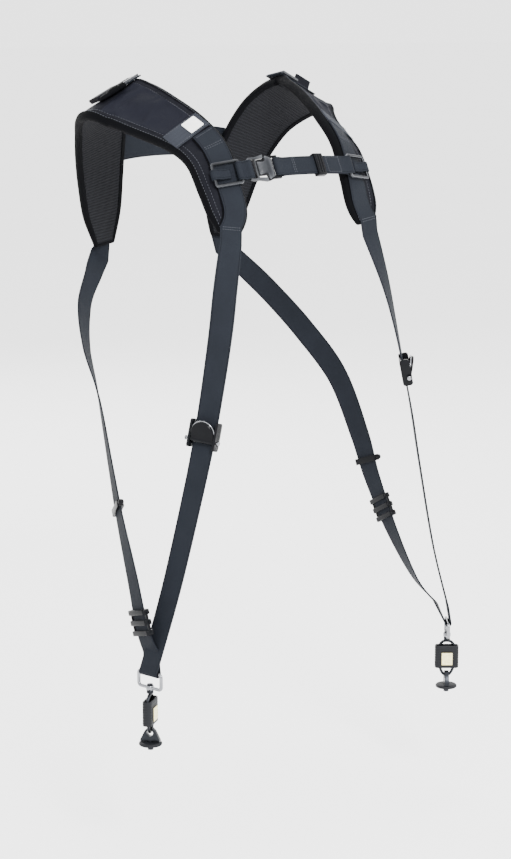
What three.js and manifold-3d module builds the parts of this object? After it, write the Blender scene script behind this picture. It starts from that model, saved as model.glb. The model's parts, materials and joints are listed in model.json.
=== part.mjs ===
// Dual shoulder harness with two hip loops that end in swivel hooks.
// Millimetres, +Z up, the wearer looks along -Y and the wearer's left is +X.
// The origin is midway between the two points where the pads rest on the shoulders.

import * as THREE from 'three';
import { mergeVertices } from 'three/addons/utils/BufferGeometryUtils.js';
import Module from 'manifold-3d';

const wasm = await Module();
wasm.setup();

// Body sizes that the harness is fitted to
const shoulderHalf = 123;
const chestReach = 160;
const padFrontDrop = 126;
const backReach = 92;
const padBackDrop = 160;
const hipHalf = 200;
const bellyReach = 178;
const ringFore = 0.98;
const sideReach = 92;

// Pads
const padWidth = 78;
const padThickness = 9;
const layerGap = 0.5;
const sewnMargin = 3;

// Where each leg of webbing comes off its pad's end, from the end of its sewn part
const frontExit = { out: 1, fore: 1, drop: 12 };
const rearExit = { out: 2, fore: 0.5, drop: 12 };

// Webbing
const webbingWidth = 25;
const webbingThickness = 1.6;
const sternumWidth = 20;
const sternumThickness = 1.3;
const backStrapWidth = 38;

// Pad details
const bandLength = 24;
const bandThickness = 1.2;
const patchSide = 17;
const patchThickness = 1;
const patchInset = 5;
const crestStrapWidth = 24;
const crestSetback = 0.35;
const crestBare = 24;
const crestRise = 0.4;
const crestSlideLength = 23;
const crestSlideBar = 4;
const crestSlideThickness = 2.4;
const crestTabWidth = 23;
const crestTabHeight = 15;
const crestTabThickness = 3.4;

// Cam locks
const lockDrop = { right: 326, left: 284 };
const lockHeight = 29;
const cheekThickness = 2.6;
const cheekGap = 0.7;
const lockPlate = 2.2;
const lockDepth = 6.5;
const leverHeight = 20;
const leverThickness = 3.4;
const leverLean = 20;
const knuckleRadius = 2.9;
const pinRadius = 1.3;
const pinClearance = 0.3;
const railRadius = 2;

// Rear fittings, the bumper by its height above the adjuster
const bumperRise = { right: 108, left: 52 };
const bumperHeight = 7;
const bumperWall = 2.4;
const adjusterHeight = 27;
const adjusterBar = 5.6;
const adjusterWall = 2;
const fittingGap = 0.5;
const adjusterGap = 1.5;
const adjusterSideGap = 1.3;

// Rings, hooks and camera fasteners
const ringWire = 1.8;
const ringHeight = 19.5;
const ringSideGap = 1.4;
const swivelRadius = 2;
const swivelBoss = 4.2;
const swivelClearance = 0.3;
const collarHeight = 4;
const hookWire = 1.6;
const hookHalf = 9.6;
const hookLength = 40;
const hookFlatness = 0.8;
const hookTaper = 0.18;
const hookPoints = 24;
const coverWidth = 27;
const coverDepth = 10.4;
const coverHeight = 26;
const coverWall = 1.9;
const coverDrop = 5;
const labelWidth = 12;
const labelHeight = 14;
const labelThickness = 0.8;
const loopBase = 21;
const loopTop = 8;
const loopHeight = 15;
const loopThickness = 5;
const loopHole = 3.4;
const eyeClearance = 0.9;
const discRadius = 12;
const discThickness = 4;
const studRadius = 3.1;
const studLength = 5;

// Sternum strap
const frameWidth = 31;
const frameHeight = 26.6;
const frameBar = 2.8;
const frameThickness = 3;
const frameDrop = 74;
const barGap = 0.4;
const buckleLength = 33;
const buckleHeight = 28;
const buckleBar = 2.6;
const buckleRim = 2;
const buckleStart = 10.5;
const keeperLength = 17;
const keeperWidth = 11;
const foldGap = 0.4;
const pinchLength = 9;
const slideLength = 11;
const slideThickness = 7.4;
const slidePlace = 0.68;

// Each side's drop to the ring's top bar and to the adjuster, and how far ring and hook are turned
const hang = {
  right: { sign: -1, drop: 567, adjuster: 516, ringTurn: 77, hookTurn: 39 },
  left: { sign: 1, drop: 579, adjuster: 460, ringTurn: 55, hookTurn: -35 },
};

// The underside of each pad from its front end over the shoulder to its rear end.
// out, fore and drop are shares of shoulderHalf, the reach and the drop of that side of the body.
const padRows = [
  { name: 'front_end', out: 0.724, fore: 0.99, drop: 1.0, width: 0.33, slope: 3, facing: 6, thick: 0.5 },
  { name: 'lower_chest', out: 0.705, fore: 0.95, drop: 0.865, width: 0.55, slope: 6, facing: 8, thick: 0.8 },
  { name: 'chest', out: 0.712, fore: 0.872, drop: 0.66, width: 0.6, slope: 10, facing: 12, thick: 0.95 },
  { name: 'upper_chest', out: 0.722, fore: 0.748, drop: 0.405, width: 0.63, slope: 18, facing: 17, thick: 1 },
  { name: 'breast', out: 0.765, fore: 0.545, drop: 0.238, width: 0.7, slope: 24, facing: 20, thick: 1 },
  { name: 'front_slope', out: 0.86, fore: 0.305, drop: 0.11, width: 0.82, slope: 26, facing: 18, thick: 1 },
  { name: 'front_yoke', out: 0.942, fore: 0.12, drop: 0.028, width: 0.94, slope: 26, facing: 8, thick: 1 },
  { name: 'crest', out: 1.0, fore: 0, drop: 0, width: 1.0, slope: 26, facing: 0, thick: 1 },
  { name: 'rear_yoke', out: 0.967, fore: -0.25, drop: 0.04, width: 0.98, slope: 26, facing: 0, thick: 1 },
  { name: 'blade_top', out: 0.885, fore: -0.5, drop: 0.15, width: 0.92, slope: 24, facing: -2, thick: 1 },
  { name: 'blade', out: 0.8, fore: -0.72, drop: 0.34, width: 0.86, slope: 18, facing: -5, thick: 1 },
  { name: 'mid_back', out: 0.73, fore: -0.87, drop: 0.56, width: 0.78, slope: 10, facing: -8, thick: 1 },
  { name: 'low_back', out: 0.68, fore: -0.96, drop: 0.79, width: 0.66, slope: 5, facing: -10, thick: 0.85 },
  { name: 'rear_end', out: 0.65, fore: -1.0, drop: 1.0, width: 0.36, slope: 2, facing: -12, thick: 0.5 },
];

// The front leg of each hip loop below the pad.
// out is a share of hipHalf, fore of bellyReach and drop of that side's drop to the ring.
const frontRows = [
  { name: 'ribs', out: 0.52, fore: 0.975, drop: 0.32, right: 28, left: 31 },
  { name: 'waist_top', out: 0.568, fore: 1.005, drop: 0.395, right: 43, left: 44 },
  { name: 'waist', out: 0.625, fore: 1.022, drop: 0.486, right: 54, left: 51 },
  { name: 'lock', out: 0.682, fore: 1.03, drop: 0.574, right: 61, left: 54 },
  { name: 'belt', out: 0.745, fore: 1.022, drop: 0.67, right: 67, left: 54 },
  { name: 'hip', out: 0.868, fore: 1.002, drop: 0.838, right: 73, left: 54 },
  { name: 'above_ring', out: 0.985, fore: 0.996, drop: 0.963, right: 77, left: 55 },
];

// The rear leg of each hip loop, from above the ring up to the pad's rear end.
// fore is a share of sideReach here, and negative values lie behind the shoulders.
// The right loop hangs further out over the hip than the left one.
const rearRows = {
  right: [
    { name: 'above_ring', out: 0.985, fore: 1.87, drop: 0.963, facing: 80 },
    { name: 'adjuster', out: 1.015, fore: 1.8, drop: 0.92, facing: 90 },
    { name: 'thigh', out: 1.02, fore: 1.63, drop: 0.835, facing: 98 },
    { name: 'bumper', out: 0.98, fore: 1.24, drop: 0.735, facing: 107 },
    { name: 'waist_side', out: 0.93, fore: 0.9, drop: 0.656, facing: 112 },
    { name: 'flank', out: 0.845, fore: 0.37, drop: 0.545, facing: 118 },
    { name: 'flank_back', out: 0.745, fore: -0.25, drop: 0.46, facing: 132 },
    { name: 'rib_back', out: 0.635, fore: -0.67, drop: 0.39, facing: 148 },
    { name: 'below_pad', out: 0.51, fore: -0.9, drop: 0.335, facing: 160 },
  ],
  left: [
    { name: 'above_ring', out: 0.955, fore: 1.78, drop: 0.963, facing: 60 },
    { name: 'adjuster', out: 0.925, fore: 1.45, drop: 0.92, facing: 69 },
    { name: 'thigh', out: 0.885, fore: 1.11, drop: 0.835, facing: 84 },
    { name: 'bumper', out: 0.855, fore: 0.79, drop: 0.735, facing: 98 },
    { name: 'waist_side', out: 0.835, fore: 0.6, drop: 0.656, facing: 110 },
    { name: 'flank', out: 0.8, fore: 0.24, drop: 0.545, facing: 118 },
    { name: 'flank_back', out: 0.735, fore: -0.27, drop: 0.46, facing: 132 },
    { name: 'rib_back', out: 0.635, fore: -0.67, drop: 0.39, facing: 148 },
    { name: 'below_pad', out: 0.51, fore: -0.9, drop: 0.335, facing: 160 },
  ],
};

const fabric = (color, roughness) => new THREE.MeshStandardMaterial({ color, roughness, metalness: 0 });
const metal = (color, roughness) => new THREE.MeshStandardMaterial({ color, roughness, metalness: 1 });
const material = {
  pad: () => fabric(0x23252b, 0.85),
  webbing: () => fabric(0x2b2e35, 0.8),
  band: () => fabric(0x4a4d54, 0.75),
  patch: () => fabric(0xe8e8e4, 0.7),
  plastic: () => fabric(0x101114, 0.3),
  rubber: () => fabric(0x16171a, 0.6),
  label: () => fabric(0xe6dc8a, 0.6),
  steel: () => metal(0x8d9096, 0.28),
  dark: () => metal(0x303238, 0.35),
};

const harness = new THREE.Group();
const degrees = THREE.MathUtils.degToRad;
const vector = (x, y, z) => new THREE.Vector3(x, y, z);

// Closed meshes

function signedVolume(points, faces) {
  let sum = 0;
  for (const [a, b, c] of faces) {
    sum += points[a].dot(points[b].clone().cross(points[c]));
  }
  return sum / 6;
}

function closedGeometry(points, faces) {
  const outward = signedVolume(points, faces) > 0;
  const index = faces.flatMap(([a, b, c]) => (outward ? [a, b, c] : [a, c, b]));
  const geometry = new THREE.BufferGeometry().setFromPoints(points);
  geometry.setIndex(index);
  geometry.computeVertexNormals();
  return geometry;
}

// Joins rings of equal count into one skin. An open run is capped, a looped run closes on itself.
function loft(rings, looped = false) {
  const count = rings[0].length;
  const points = rings.flat();
  const faces = [];
  const spans = looped ? rings.length : rings.length - 1;
  for (let i = 0; i < spans; i += 1) {
    const here = i * count;
    const next = ((i + 1) % rings.length) * count;
    for (let k = 0; k < count; k += 1) {
      const other = (k + 1) % count;
      faces.push([here + k, here + other, next + other]);
      faces.push([here + k, next + other, next + k]);
    }
  }
  if (!looped) {
    const last = (rings.length - 1) * count;
    for (let k = 1; k < count - 1; k += 1) {
      faces.push([0, k + 1, k]);
      faces.push([last, last + k, last + k + 1]);
    }
  }
  return closedGeometry(points, faces);
}

function toSolid(geometry) {
  let bare = geometry.clone();
  bare.deleteAttribute('normal');
  bare.deleteAttribute('uv');
  bare = mergeVertices(bare, 1e-4);
  const mesh = new wasm.Mesh({
    numProp: 3,
    vertProperties: new Float32Array(bare.attributes.position.array),
    triVerts: new Uint32Array(bare.index.array),
  });
  return new wasm.Manifold(mesh);
}

function fromSolid(solid) {
  const mesh = solid.getMesh();
  const geometry = new THREE.BufferGeometry();
  geometry.setAttribute('position', new THREE.BufferAttribute(new Float32Array(mesh.vertProperties), 3));
  geometry.setIndex(Array.from(mesh.triVerts));
  geometry.computeVertexNormals();
  return geometry;
}

function joined(...geometries) {
  return fromSolid(geometries.map(toSolid).reduce((sum, next) => sum.add(next)));
}

function cutBy(geometry, ...tools) {
  return fromSolid(tools.map(toSolid).reduce((rest, tool) => rest.subtract(tool), toSolid(geometry)));
}

function addNode(name, geometry, look, parent = harness) {
  const mesh = new THREE.Mesh(geometry, look);
  mesh.name = name;
  parent.add(mesh);
  return mesh;
}

// Simple shapes, each centred on its own origin

function block(x, y, z, at = [0, 0, 0]) {
  return new THREE.BoxGeometry(x, y, z).translate(...at);
}

function rod(radius, length, axis, at = [0, 0, 0], sides = 12) {
  const geometry = new THREE.CylinderGeometry(radius, radius, length, sides);
  if (axis === 'x') geometry.rotateZ(Math.PI / 2);
  if (axis === 'z') geometry.rotateX(Math.PI / 2);
  return geometry.translate(...at);
}

function roundedRectangle(width, height, radius) {
  const shape = new THREE.Shape();
  const x = width / 2;
  const y = height / 2;
  shape.moveTo(-x + radius, -y);
  shape.lineTo(x - radius, -y);
  shape.absarc(x - radius, -y + radius, radius, -Math.PI / 2, 0);
  shape.lineTo(x, y - radius);
  shape.absarc(x - radius, y - radius, radius, 0, Math.PI / 2);
  shape.lineTo(-x + radius, y);
  shape.absarc(-x + radius, y - radius, radius, Math.PI / 2, Math.PI);
  shape.lineTo(-x, -y + radius);
  shape.absarc(-x + radius, -y + radius, radius, Math.PI, 1.5 * Math.PI);
  return shape;
}

function movedPath(shape, dx, dy, segments) {
  return new THREE.Path(shape.getPoints(segments).map((p) => new THREE.Vector2(p.x + dx, p.y + dy)));
}

function extruded(shape, depth, segments) {
  return new THREE.ExtrudeGeometry(shape, { depth, bevelEnabled: false, curveSegments: segments });
}

// A plate in the XZ plane, centred on its thickness along Y
function plate(shape, thickness, bevel = 0, segments = 3) {
  const geometry = new THREE.ExtrudeGeometry(shape, {
    depth: thickness - 2 * bevel,
    bevelEnabled: bevel > 0,
    bevelThickness: bevel,
    bevelSize: bevel,
    bevelOffset: -bevel,
    bevelSegments: 1,
    curveSegments: segments,
  });
  return geometry.translate(0, 0, -(thickness - 2 * bevel) / 2).rotateX(Math.PI / 2);
}

// A turned piece about the Z axis, from radius and height pairs
function turned(profile, sides) {
  const outline = profile.map(([r, h]) => new THREE.Vector2(r, h));
  const bare = new THREE.LatheGeometry(outline, sides).rotateX(Math.PI / 2);
  bare.deleteAttribute('normal');
  bare.deleteAttribute('uv');
  const merged = mergeVertices(bare, 1e-4);
  const at = merged.attributes.position;
  const points = Array.from({ length: at.count }, (_, i) => vector(at.getX(i), at.getY(i), at.getZ(i)));
  const faces = [];
  for (let i = 0; i < merged.index.count; i += 3) {
    const face = [0, 1, 2].map((k) => merged.index.getX(i + k));
    if (new Set(face).size === 3) faces.push(face);
  }
  return closedGeometry(points, faces);
}

// Lines that the webbing and pads follow

const columns = ['x', 'y', 'z', 'width', 'slope', 'facing', 'thick'];

function blendRows(rows, u) {
  const i = Math.min(Math.max(Math.floor(u), 0), rows.length - 2);
  const t = u - i;
  const pick = (k) => rows[Math.min(Math.max(k, 0), rows.length - 1)];
  const result = {};
  for (const key of columns) {
    const [a, b, c, d] = [pick(i - 1)[key], pick(i)[key], pick(i + 1)[key], pick(i + 2)[key]];
    const slopeIn = (c - a) / 2;
    const slopeOut = (d - b) / 2;
    const rise = c - b;
    const bend = 3 * rise - 2 * slopeIn - slopeOut;
    const turn = slopeIn + slopeOut - 2 * rise;
    result[key] = b + t * (slopeIn + t * (bend + t * turn));
  }
  return result;
}

// The frame at station u: point, along (up the front, down the back), across (to the outer edge), normal
function station(rows, u, sign) {
  const row = blendRows(rows, u);
  const step = 0.01;
  const before = blendRows(rows, Math.max(u - step, 0));
  const after = blendRows(rows, Math.min(u + step, rows.length - 1));
  const along = vector(after.x - before.x, after.y - before.y, after.z - before.z).normalize();
  const facing = degrees(row.facing);
  const slope = degrees(row.slope);
  const level = Math.cos(slope);
  const guide = vector(Math.cos(facing) * level, Math.sin(facing) * level, -Math.sin(slope));
  const normal = guide.clone().cross(along).normalize();
  const across = along.clone().cross(normal);
  const mirror = (v) => vector(v.x * sign, v.y, v.z);
  return {
    point: mirror(vector(row.x, row.y, row.z)),
    along: mirror(along),
    across: mirror(across),
    normal: mirror(normal),
    width: row.width,
    thick: row.thick,
  };
}

function offset(frame, across, normal, along = 0) {
  return frame.point.clone()
    .addScaledVector(frame.across, across)
    .addScaledVector(frame.normal, normal)
    .addScaledVector(frame.along, along);
}

function padLine() {
  return padRows.map((row) => ({
    x: row.out * shoulderHalf,
    y: row.fore > 0 ? -row.fore * chestReach : -row.fore * backReach,
    z: row.fore > 0 ? -row.drop * padFrontDrop : -row.drop * padBackDrop,
    width: row.width * padWidth,
    slope: row.slope,
    facing: row.facing,
    thick: row.thick * padThickness,
  }));
}

const padStations = padLine();
const padRow = (name) => padRows.findIndex((row) => row.name === name);

// Finds the station of a line where it passes a given height below the origin
function stationAtDrop(rows, drop, from = 0, to = rows.length - 1) {
  let low = from;
  let high = to;
  const falling = blendRows(rows, high).z < blendRows(rows, low).z;
  for (let i = 0; i < 40; i += 1) {
    const middle = (low + high) / 2;
    const below = blendRows(rows, middle).z < -drop;
    if (below === falling) high = middle;
    else low = middle;
  }
  return (low + high) / 2;
}

// Pads

const padSection = [
  [-1, 0.28], [-0.95, 0], [0.95, 0], [1, 0.28],
  [1, 0.62], [0.94, 0.88], [0.86, 1], [-0.86, 1], [-0.94, 0.88], [-1, 0.62],
];
const padSteps = 3;

function buildPad(sign) {
  const rings = [];
  const last = (padStations.length - 1) * padSteps;
  for (let i = 0; i <= last; i += 1) {
    const frame = station(padStations, i / padSteps, sign);
    rings.push(padSection.map(([w, n]) => offset(frame, w * frame.width / 2, n * frame.thick)));
  }
  return loft(rings);
}

// A flat strip through a run of frames, given as centre, across and normal
function strip(frames, width, thickness, looped = false) {
  const rings = frames.map(({ centre, across, normal }) => {
    const corner = (w, n) => centre.clone()
      .addScaledVector(across, w * width / 2)
      .addScaledVector(normal, n * thickness / 2);
    return [corner(-1, -1), corner(1, -1), corner(1, 1), corner(-1, 1)];
  });
  return loft(rings, looped);
}

// The centre of what is sewn on a pad: over its top face, set in from the inner edge
function sewnFrame(u, sign, layer) {
  const frame = station(padStations, u, sign);
  const inset = Math.max(frame.width / 2 - sewnMargin - webbingWidth / 2, 0);
  return {
    centre: offset(frame, -inset, frame.thick + layerGap + layer),
    across: frame.across,
    normal: frame.normal,
    frame,
  };
}

const bandStation = padRow('breast') - 0.12;
const bandHalf = stationSpan(bandStation, bandLength / 2);

// How many stations a length along the pad takes near station u
function stationSpan(u, length) {
  const step = 0.05;
  const a = station(padStations, u - step, 1).point;
  const b = station(padStations, u + step, 1).point;
  return length * 2 * step / a.distanceTo(b);
}

function legRows(rows, side, reach) {
  return rows.map((row) => ({
    x: row.out * hipHalf,
    y: -row.fore * reach,
    z: -row.drop * hang[side].drop,
    width: 0,
    slope: 0,
    facing: row.facing ?? row[side],
    thick: 0,
  }));
}

// Front leg, run upward from the ring to the pad's front end, then sewn up the pad to the cross band
function frontLine(side) {
  const leg = legRows(frontRows, side, bellyReach).reverse();
  const end = sewnFrame(0, 1, webbingThickness / 2).centre;
  const start = padStations[0];
  const { out, fore, drop } = frontExit;
  leg.push({ ...start, x: end.x + out, y: end.y - fore, z: end.z - drop, slope: 2, facing: 9 });
  return leg;
}

function ringCentre(side) {
  const { sign, drop } = hang[side];
  return vector(sign * hipHalf, -bellyReach * ringFore, -drop);
}

// The ring's own frame: across is its width, normal faces away from the body
function ringFrame(side) {
  const { sign, ringTurn } = hang[side];
  const turn = degrees(ringTurn);
  return {
    centre: ringCentre(side),
    across: vector(sign * Math.cos(turn), Math.sin(turn), 0),
    normal: vector(sign * Math.sin(turn), -Math.cos(turn), 0),
  };
}

const wrapRadius = ringWire + layerGap + webbingThickness / 2;
const legSteps = 5;

function legFrames(rows, sign, from, to, steps) {
  const frames = [];
  for (let i = 0; i <= steps; i += 1) {
    const frame = station(rows, from + (to - from) * i / steps, sign);
    frames.push({ centre: frame.point, across: frame.across, normal: frame.normal });
  }
  return frames;
}

// The hip loop: from the cross band down the pad, through the lock, round the ring bar, up to the adjuster
function hipLoopFrames(side) {
  const { sign } = hang[side];
  const frames = [];
  const top = bandStation - bandHalf - 0.03;
  const padCount = 14;
  for (let i = 0; i <= padCount; i += 1) {
    const { centre, across, normal } = sewnFrame(top * (1 - i / padCount), sign, webbingThickness / 2);
    frames.push({ centre, across, normal });
  }
  const front = frontLine(side);
  const down = legFrames(front, sign, front.length - 1, 0, (front.length - 1) * legSteps);
  frames.push(...down);
  const ring = ringFrame(side);
  const wrapSteps = 8;
  for (let i = 0; i <= wrapSteps; i += 1) {
    const angle = Math.PI * i / wrapSteps;
    const normal = ring.normal.clone().multiplyScalar(Math.cos(angle));
    normal.addScaledVector(vector(0, 0, -1), Math.sin(angle));
    const centre = ring.centre.clone().addScaledVector(normal, wrapRadius);
    frames.push({ centre, across: ring.across, normal });
  }
  const rear = rearLine(side);
  const split = adjusterStation(side);
  const turnedOver = ({ centre, across, normal }) => ({ centre, across: across.clone().negate(), normal });
  const up = legFrames(rear, sign, 0, split - 0.02, Math.round(split * legSteps) + 2).map(turnedOver);
  frames.push(...up);
  return frames;
}

function rearLine(side) {
  const leg = legRows(rearRows[side], side, sideReach).map((row) => ({ ...row, facing: row.facing - 180 }));
  const end = sewnFrame(padStations.length - 1, 1, webbingThickness / 2).centre;
  const { out, fore, drop } = rearExit;
  leg.push({ ...leg.at(-1), x: end.x + out, y: end.y + fore, z: end.z - drop, slope: 2, facing: -14 });
  return leg;
}

function adjusterStation(side) {
  return stationAtDrop(rearLine(side), hang[side].adjuster);
}

function rearStrapFrames(side) {
  const { sign } = hang[side];
  const rear = rearLine(side);
  const start = adjusterStation(side) + 0.02;
  const last = rear.length - 1;
  const outward = ({ centre, across, normal }) => ({ centre, across, normal: normal.clone().negate() });
  const frames = legFrames(rear, sign, start, last, Math.round((last - start) * legSteps)).map(outward);
  const padLast = padStations.length - 1;
  const sewnStations = 1.6;
  const count = 7;
  for (let i = 0; i <= count; i += 1) {
    const u = padLast - sewnStations * i / count;
    const { centre, across, normal } = sewnFrame(u, sign, webbingThickness / 2);
    frames.push({ centre, across, normal });
  }
  return frames;
}

// A group on a strap: x across, y towards the body, z up along the strap
function seat(frame, sign) {
  const group = new THREE.Group();
  const up = frame.along.z < 0 ? frame.along.clone().negate() : frame.along.clone();
  const inward = frame.normal.clone().negate();
  const across = inward.clone().cross(up);
  group.matrix.makeBasis(across, inward, up).setPosition(frame.point);
  group.matrix.decompose(group.position, group.quaternion, group.scale);
  harness.add(group);
  return { group, outer: Math.sign(across.dot(frame.across)) || sign };
}

const strapBack = webbingThickness / 2 + fittingGap;

function buildLock(side, tag) {
  const { sign } = hang[side];
  const line = frontLine(side);
  const frame = station(line, stationAtDrop(line, lockDrop[side]), sign);
  const { group, outer } = seat(frame, sign);
  const inner = webbingWidth / 2 + cheekGap;
  const hingeY = -(webbingThickness / 2 + layerGap + knuckleRadius);
  const hingeZ = -lockHeight * 0.2;
  const cheekTop = lockDepth + webbingThickness / 2;
  const depth = cheekTop + strapBack + lockPlate;
  const cheekShape = roundedRectangle(depth, lockHeight, 3);
  const cheek = (x) => {
    const wall = extruded(cheekShape, cheekThickness, 3);
    wall.rotateY(Math.PI / 2).rotateX(Math.PI / 2);
    return wall.translate(x - cheekThickness / 2, strapBack + lockPlate - depth / 2, 0);
  };
  const span = 2 * (inner + cheekThickness);
  const back = block(span - 1, lockPlate, lockHeight - 7, [0, strapBack + lockPlate / 2, 0]);
  const body = joined(back, cheek(inner + cheekThickness / 2), cheek(-inner - cheekThickness / 2));
  const railX = outer * (inner + cheekThickness + 1.2);
  const rail = rod(railRadius, lockHeight - 3, 'z', [railX, railRadius - 0.4, 0], 8);
  const bore = rod(pinRadius + pinClearance, span + 10, 'x', [0, hingeY, hingeZ], 10);
  const base = cutBy(joined(body, rail), bore);
  addNode(`cam_base_${tag}`, base, material.plastic(), group);

  const pinEnd = 1.2;
  const half = inner + cheekThickness + 2.2 + pinClearance + pinEnd;
  const headRadius = pinRadius + 1;
  const profile = [
    [0, -half], [headRadius, -half], [headRadius, -half + pinEnd], [pinRadius, -half + pinEnd],
    [pinRadius, half - pinEnd], [headRadius, half - pinEnd], [headRadius, half], [0, half],
  ];
  const pin = turned(profile, 10).rotateY(Math.PI / 2).translate(0, hingeY, hingeZ);
  addNode(`cam_pin_${tag}`, pin, material.steel(), group);

  const leverHalf = inner - 0.4;
  const outline = new THREE.Shape();
  outline.moveTo(-leverHalf, 0);
  outline.lineTo(leverHalf, 0);
  outline.lineTo(leverHalf, leverHeight - leverHalf);
  outline.absarc(0, leverHeight - leverHalf, leverHalf, 0, Math.PI);
  const tongue = plate(outline, leverThickness, 0.8, 10);
  tongue.translate(0, -0.6, 0).rotateX(degrees(leverLean)).translate(0, hingeY, hingeZ);
  const knuckle = rod(knuckleRadius, 2 * leverHalf, 'x', [0, hingeY, hingeZ], 16);
  const hole = rod(pinRadius + pinClearance, 2 * leverHalf + 10, 'x', [0, hingeY, hingeZ], 10);
  const lever = cutBy(joined(tongue, knuckle), hole);
  addNode(`cam_lever_${tag}`, lever, material.plastic(), group);
}

// A flat sleeve round a strap: outer size, wall and height along the strap
function sleeve(width, thickness, wall, height) {
  const outline = roundedRectangle(width + 2 * wall, thickness + 2 * wall, wall);
  const hole = roundedRectangle(width, thickness, Math.min(0.4, thickness / 3));
  outline.holes.push(movedPath(hole, 0, 0, 2));
  return extruded(outline, height, 3).translate(0, 0, -height / 2);
}

function buildRearFittings(side, tag) {
  const { sign } = hang[side];
  const line = rearLine(side);
  const slot = webbingThickness + 2 * fittingGap;
  const opening = webbingWidth + 2 * cheekGap;

  const bumperDrop = hang[side].adjuster - bumperRise[side];
  const bumperFrame = station(line, stationAtDrop(line, bumperDrop), sign);
  const bumperSeat = seat(bumperFrame, sign);
  const ball = new THREE.SphereGeometry(3.2, 8, 6);
  ball.translate(-bumperSeat.outer * (opening / 2 + bumperWall + 1.6), 0, 0);
  const bumper = joined(sleeve(opening, slot, bumperWall, bumperHeight), ball);
  addNode(`rear_bumper_${tag}`, bumper, material.plastic(), bumperSeat.group);

  const frame = station(line, adjusterStation(side), sign);
  const { group } = seat(frame, sign);
  const adjusterSlot = webbingThickness + 2 * adjusterGap;
  const wide = webbingWidth + 2 * adjusterSideGap;
  const body = sleeve(wide, adjusterSlot, adjusterWall, adjusterHeight);
  const gapHeight = (adjusterHeight - 3 * adjusterBar) / 2;
  const window1 = block(wide - 2, 8, gapHeight, [0, -5, adjusterBar / 2 + gapHeight / 2]);
  const window2 = block(wide - 2, 8, gapHeight, [0, -5, -adjusterBar / 2 - gapHeight / 2]);
  const backCut = (z) => block(wide - 2, 8, adjusterHeight / 2 - adjusterBar / 2 - 1, [0, 5, z]);
  const shift = adjusterHeight / 4 + adjusterBar / 4 + 0.5;
  const adjuster = cutBy(body, window1, window2, backCut(shift), backCut(-shift));
  addNode(`adjuster_${tag}`, adjuster, material.plastic(), group);
}

// Rings, swivels, hooks and fasteners, in a group at the ring's top bar: x across the ring, z up

function wireLoop(points, radius, sides) {
  const path = new THREE.CatmullRomCurve3(points, true, 'centripetal');
  const count = Math.round(points.length * 1.5);
  const rings = [];
  for (let i = 0; i < count; i += 1) {
    const centre = path.getPointAt(i / count);
    const tangent = path.getTangentAt(i / count);
    const flat = vector(0, 1, 0);
    const out = tangent.clone().cross(flat).normalize();
    const ring = [];
    for (let k = 0; k < sides; k += 1) {
      const angle = 2 * Math.PI * (k + 0.5) / sides;
      ring.push(centre.clone()
        .addScaledVector(out, radius * Math.cos(angle))
        .addScaledVector(flat, radius * Math.sin(angle)));
    }
    rings.push(ring);
  }
  return loft(rings, true);
}

function ringOutline(halfWidth, height, corner, perCorner) {
  const points = [];
  const corners = [
    { x: halfWidth - corner, z: -corner, from: 90 },
    { x: halfWidth - corner, z: -height + corner, from: 0 },
    { x: -halfWidth + corner, z: -height + corner, from: -90 },
    { x: -halfWidth + corner, z: -corner, from: -180 },
  ];
  for (const { x, z, from } of corners) {
    for (let k = 0; k <= perCorner; k += 1) {
      const angle = degrees(from - 90 * k / perCorner);
      points.push(vector(x + corner * Math.cos(angle), 0, z + corner * Math.sin(angle)));
    }
  }
  return points;
}

const ringHalf = webbingWidth / 2 + ringSideGap + ringWire;
const ringDrop = ringHeight - 2 * ringWire;

function buildRing(group, tag) {
  const points = ringOutline(ringHalf, ringDrop, 3.2, 3);
  const rings = [];
  const sides = 8;
  points.forEach((centre, i) => {
    const before = points[(i + points.length - 1) % points.length];
    const after = points[(i + 1) % points.length];
    const tangent = after.clone().sub(before).normalize();
    const flat = vector(0, 1, 0);
    const out = tangent.clone().cross(flat).normalize();
    const ring = [];
    for (let k = 0; k < sides; k += 1) {
      const angle = 2 * Math.PI * (k + 0.5) / sides;
      ring.push(centre.clone()
        .addScaledVector(out, ringWire * Math.cos(angle))
        .addScaledVector(flat, ringWire * Math.sin(angle)));
    }
    rings.push(ring);
  });
  const wire = loft(rings, true);
  const boss = rod(swivelBoss, 2 * ringWire + 0.8, 'z', [0, 0, -ringDrop], 16);
  const bore = rod(swivelRadius + swivelClearance, 20, 'z', [0, 0, -ringDrop], 12);
  addNode(`ring_${tag}`, cutBy(joined(wire, boss), bore), material.steel(), group);
}

// The closed wire of the hook: flat sides, and a bottom that narrows to the fastener
function hookPath(top) {
  const points = [];
  for (let i = 0; i < hookPoints; i += 1) {
    const angle = 2 * Math.PI * i / hookPoints;
    const side = Math.sign(Math.sin(angle)) * Math.abs(Math.sin(angle)) ** hookFlatness;
    const out = side * (1 + hookTaper * Math.cos(angle)) * hookHalf;
    points.push(vector(out, 0, top - hookLength * (1 - Math.cos(angle)) / 2));
  }
  return points;
}

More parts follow.
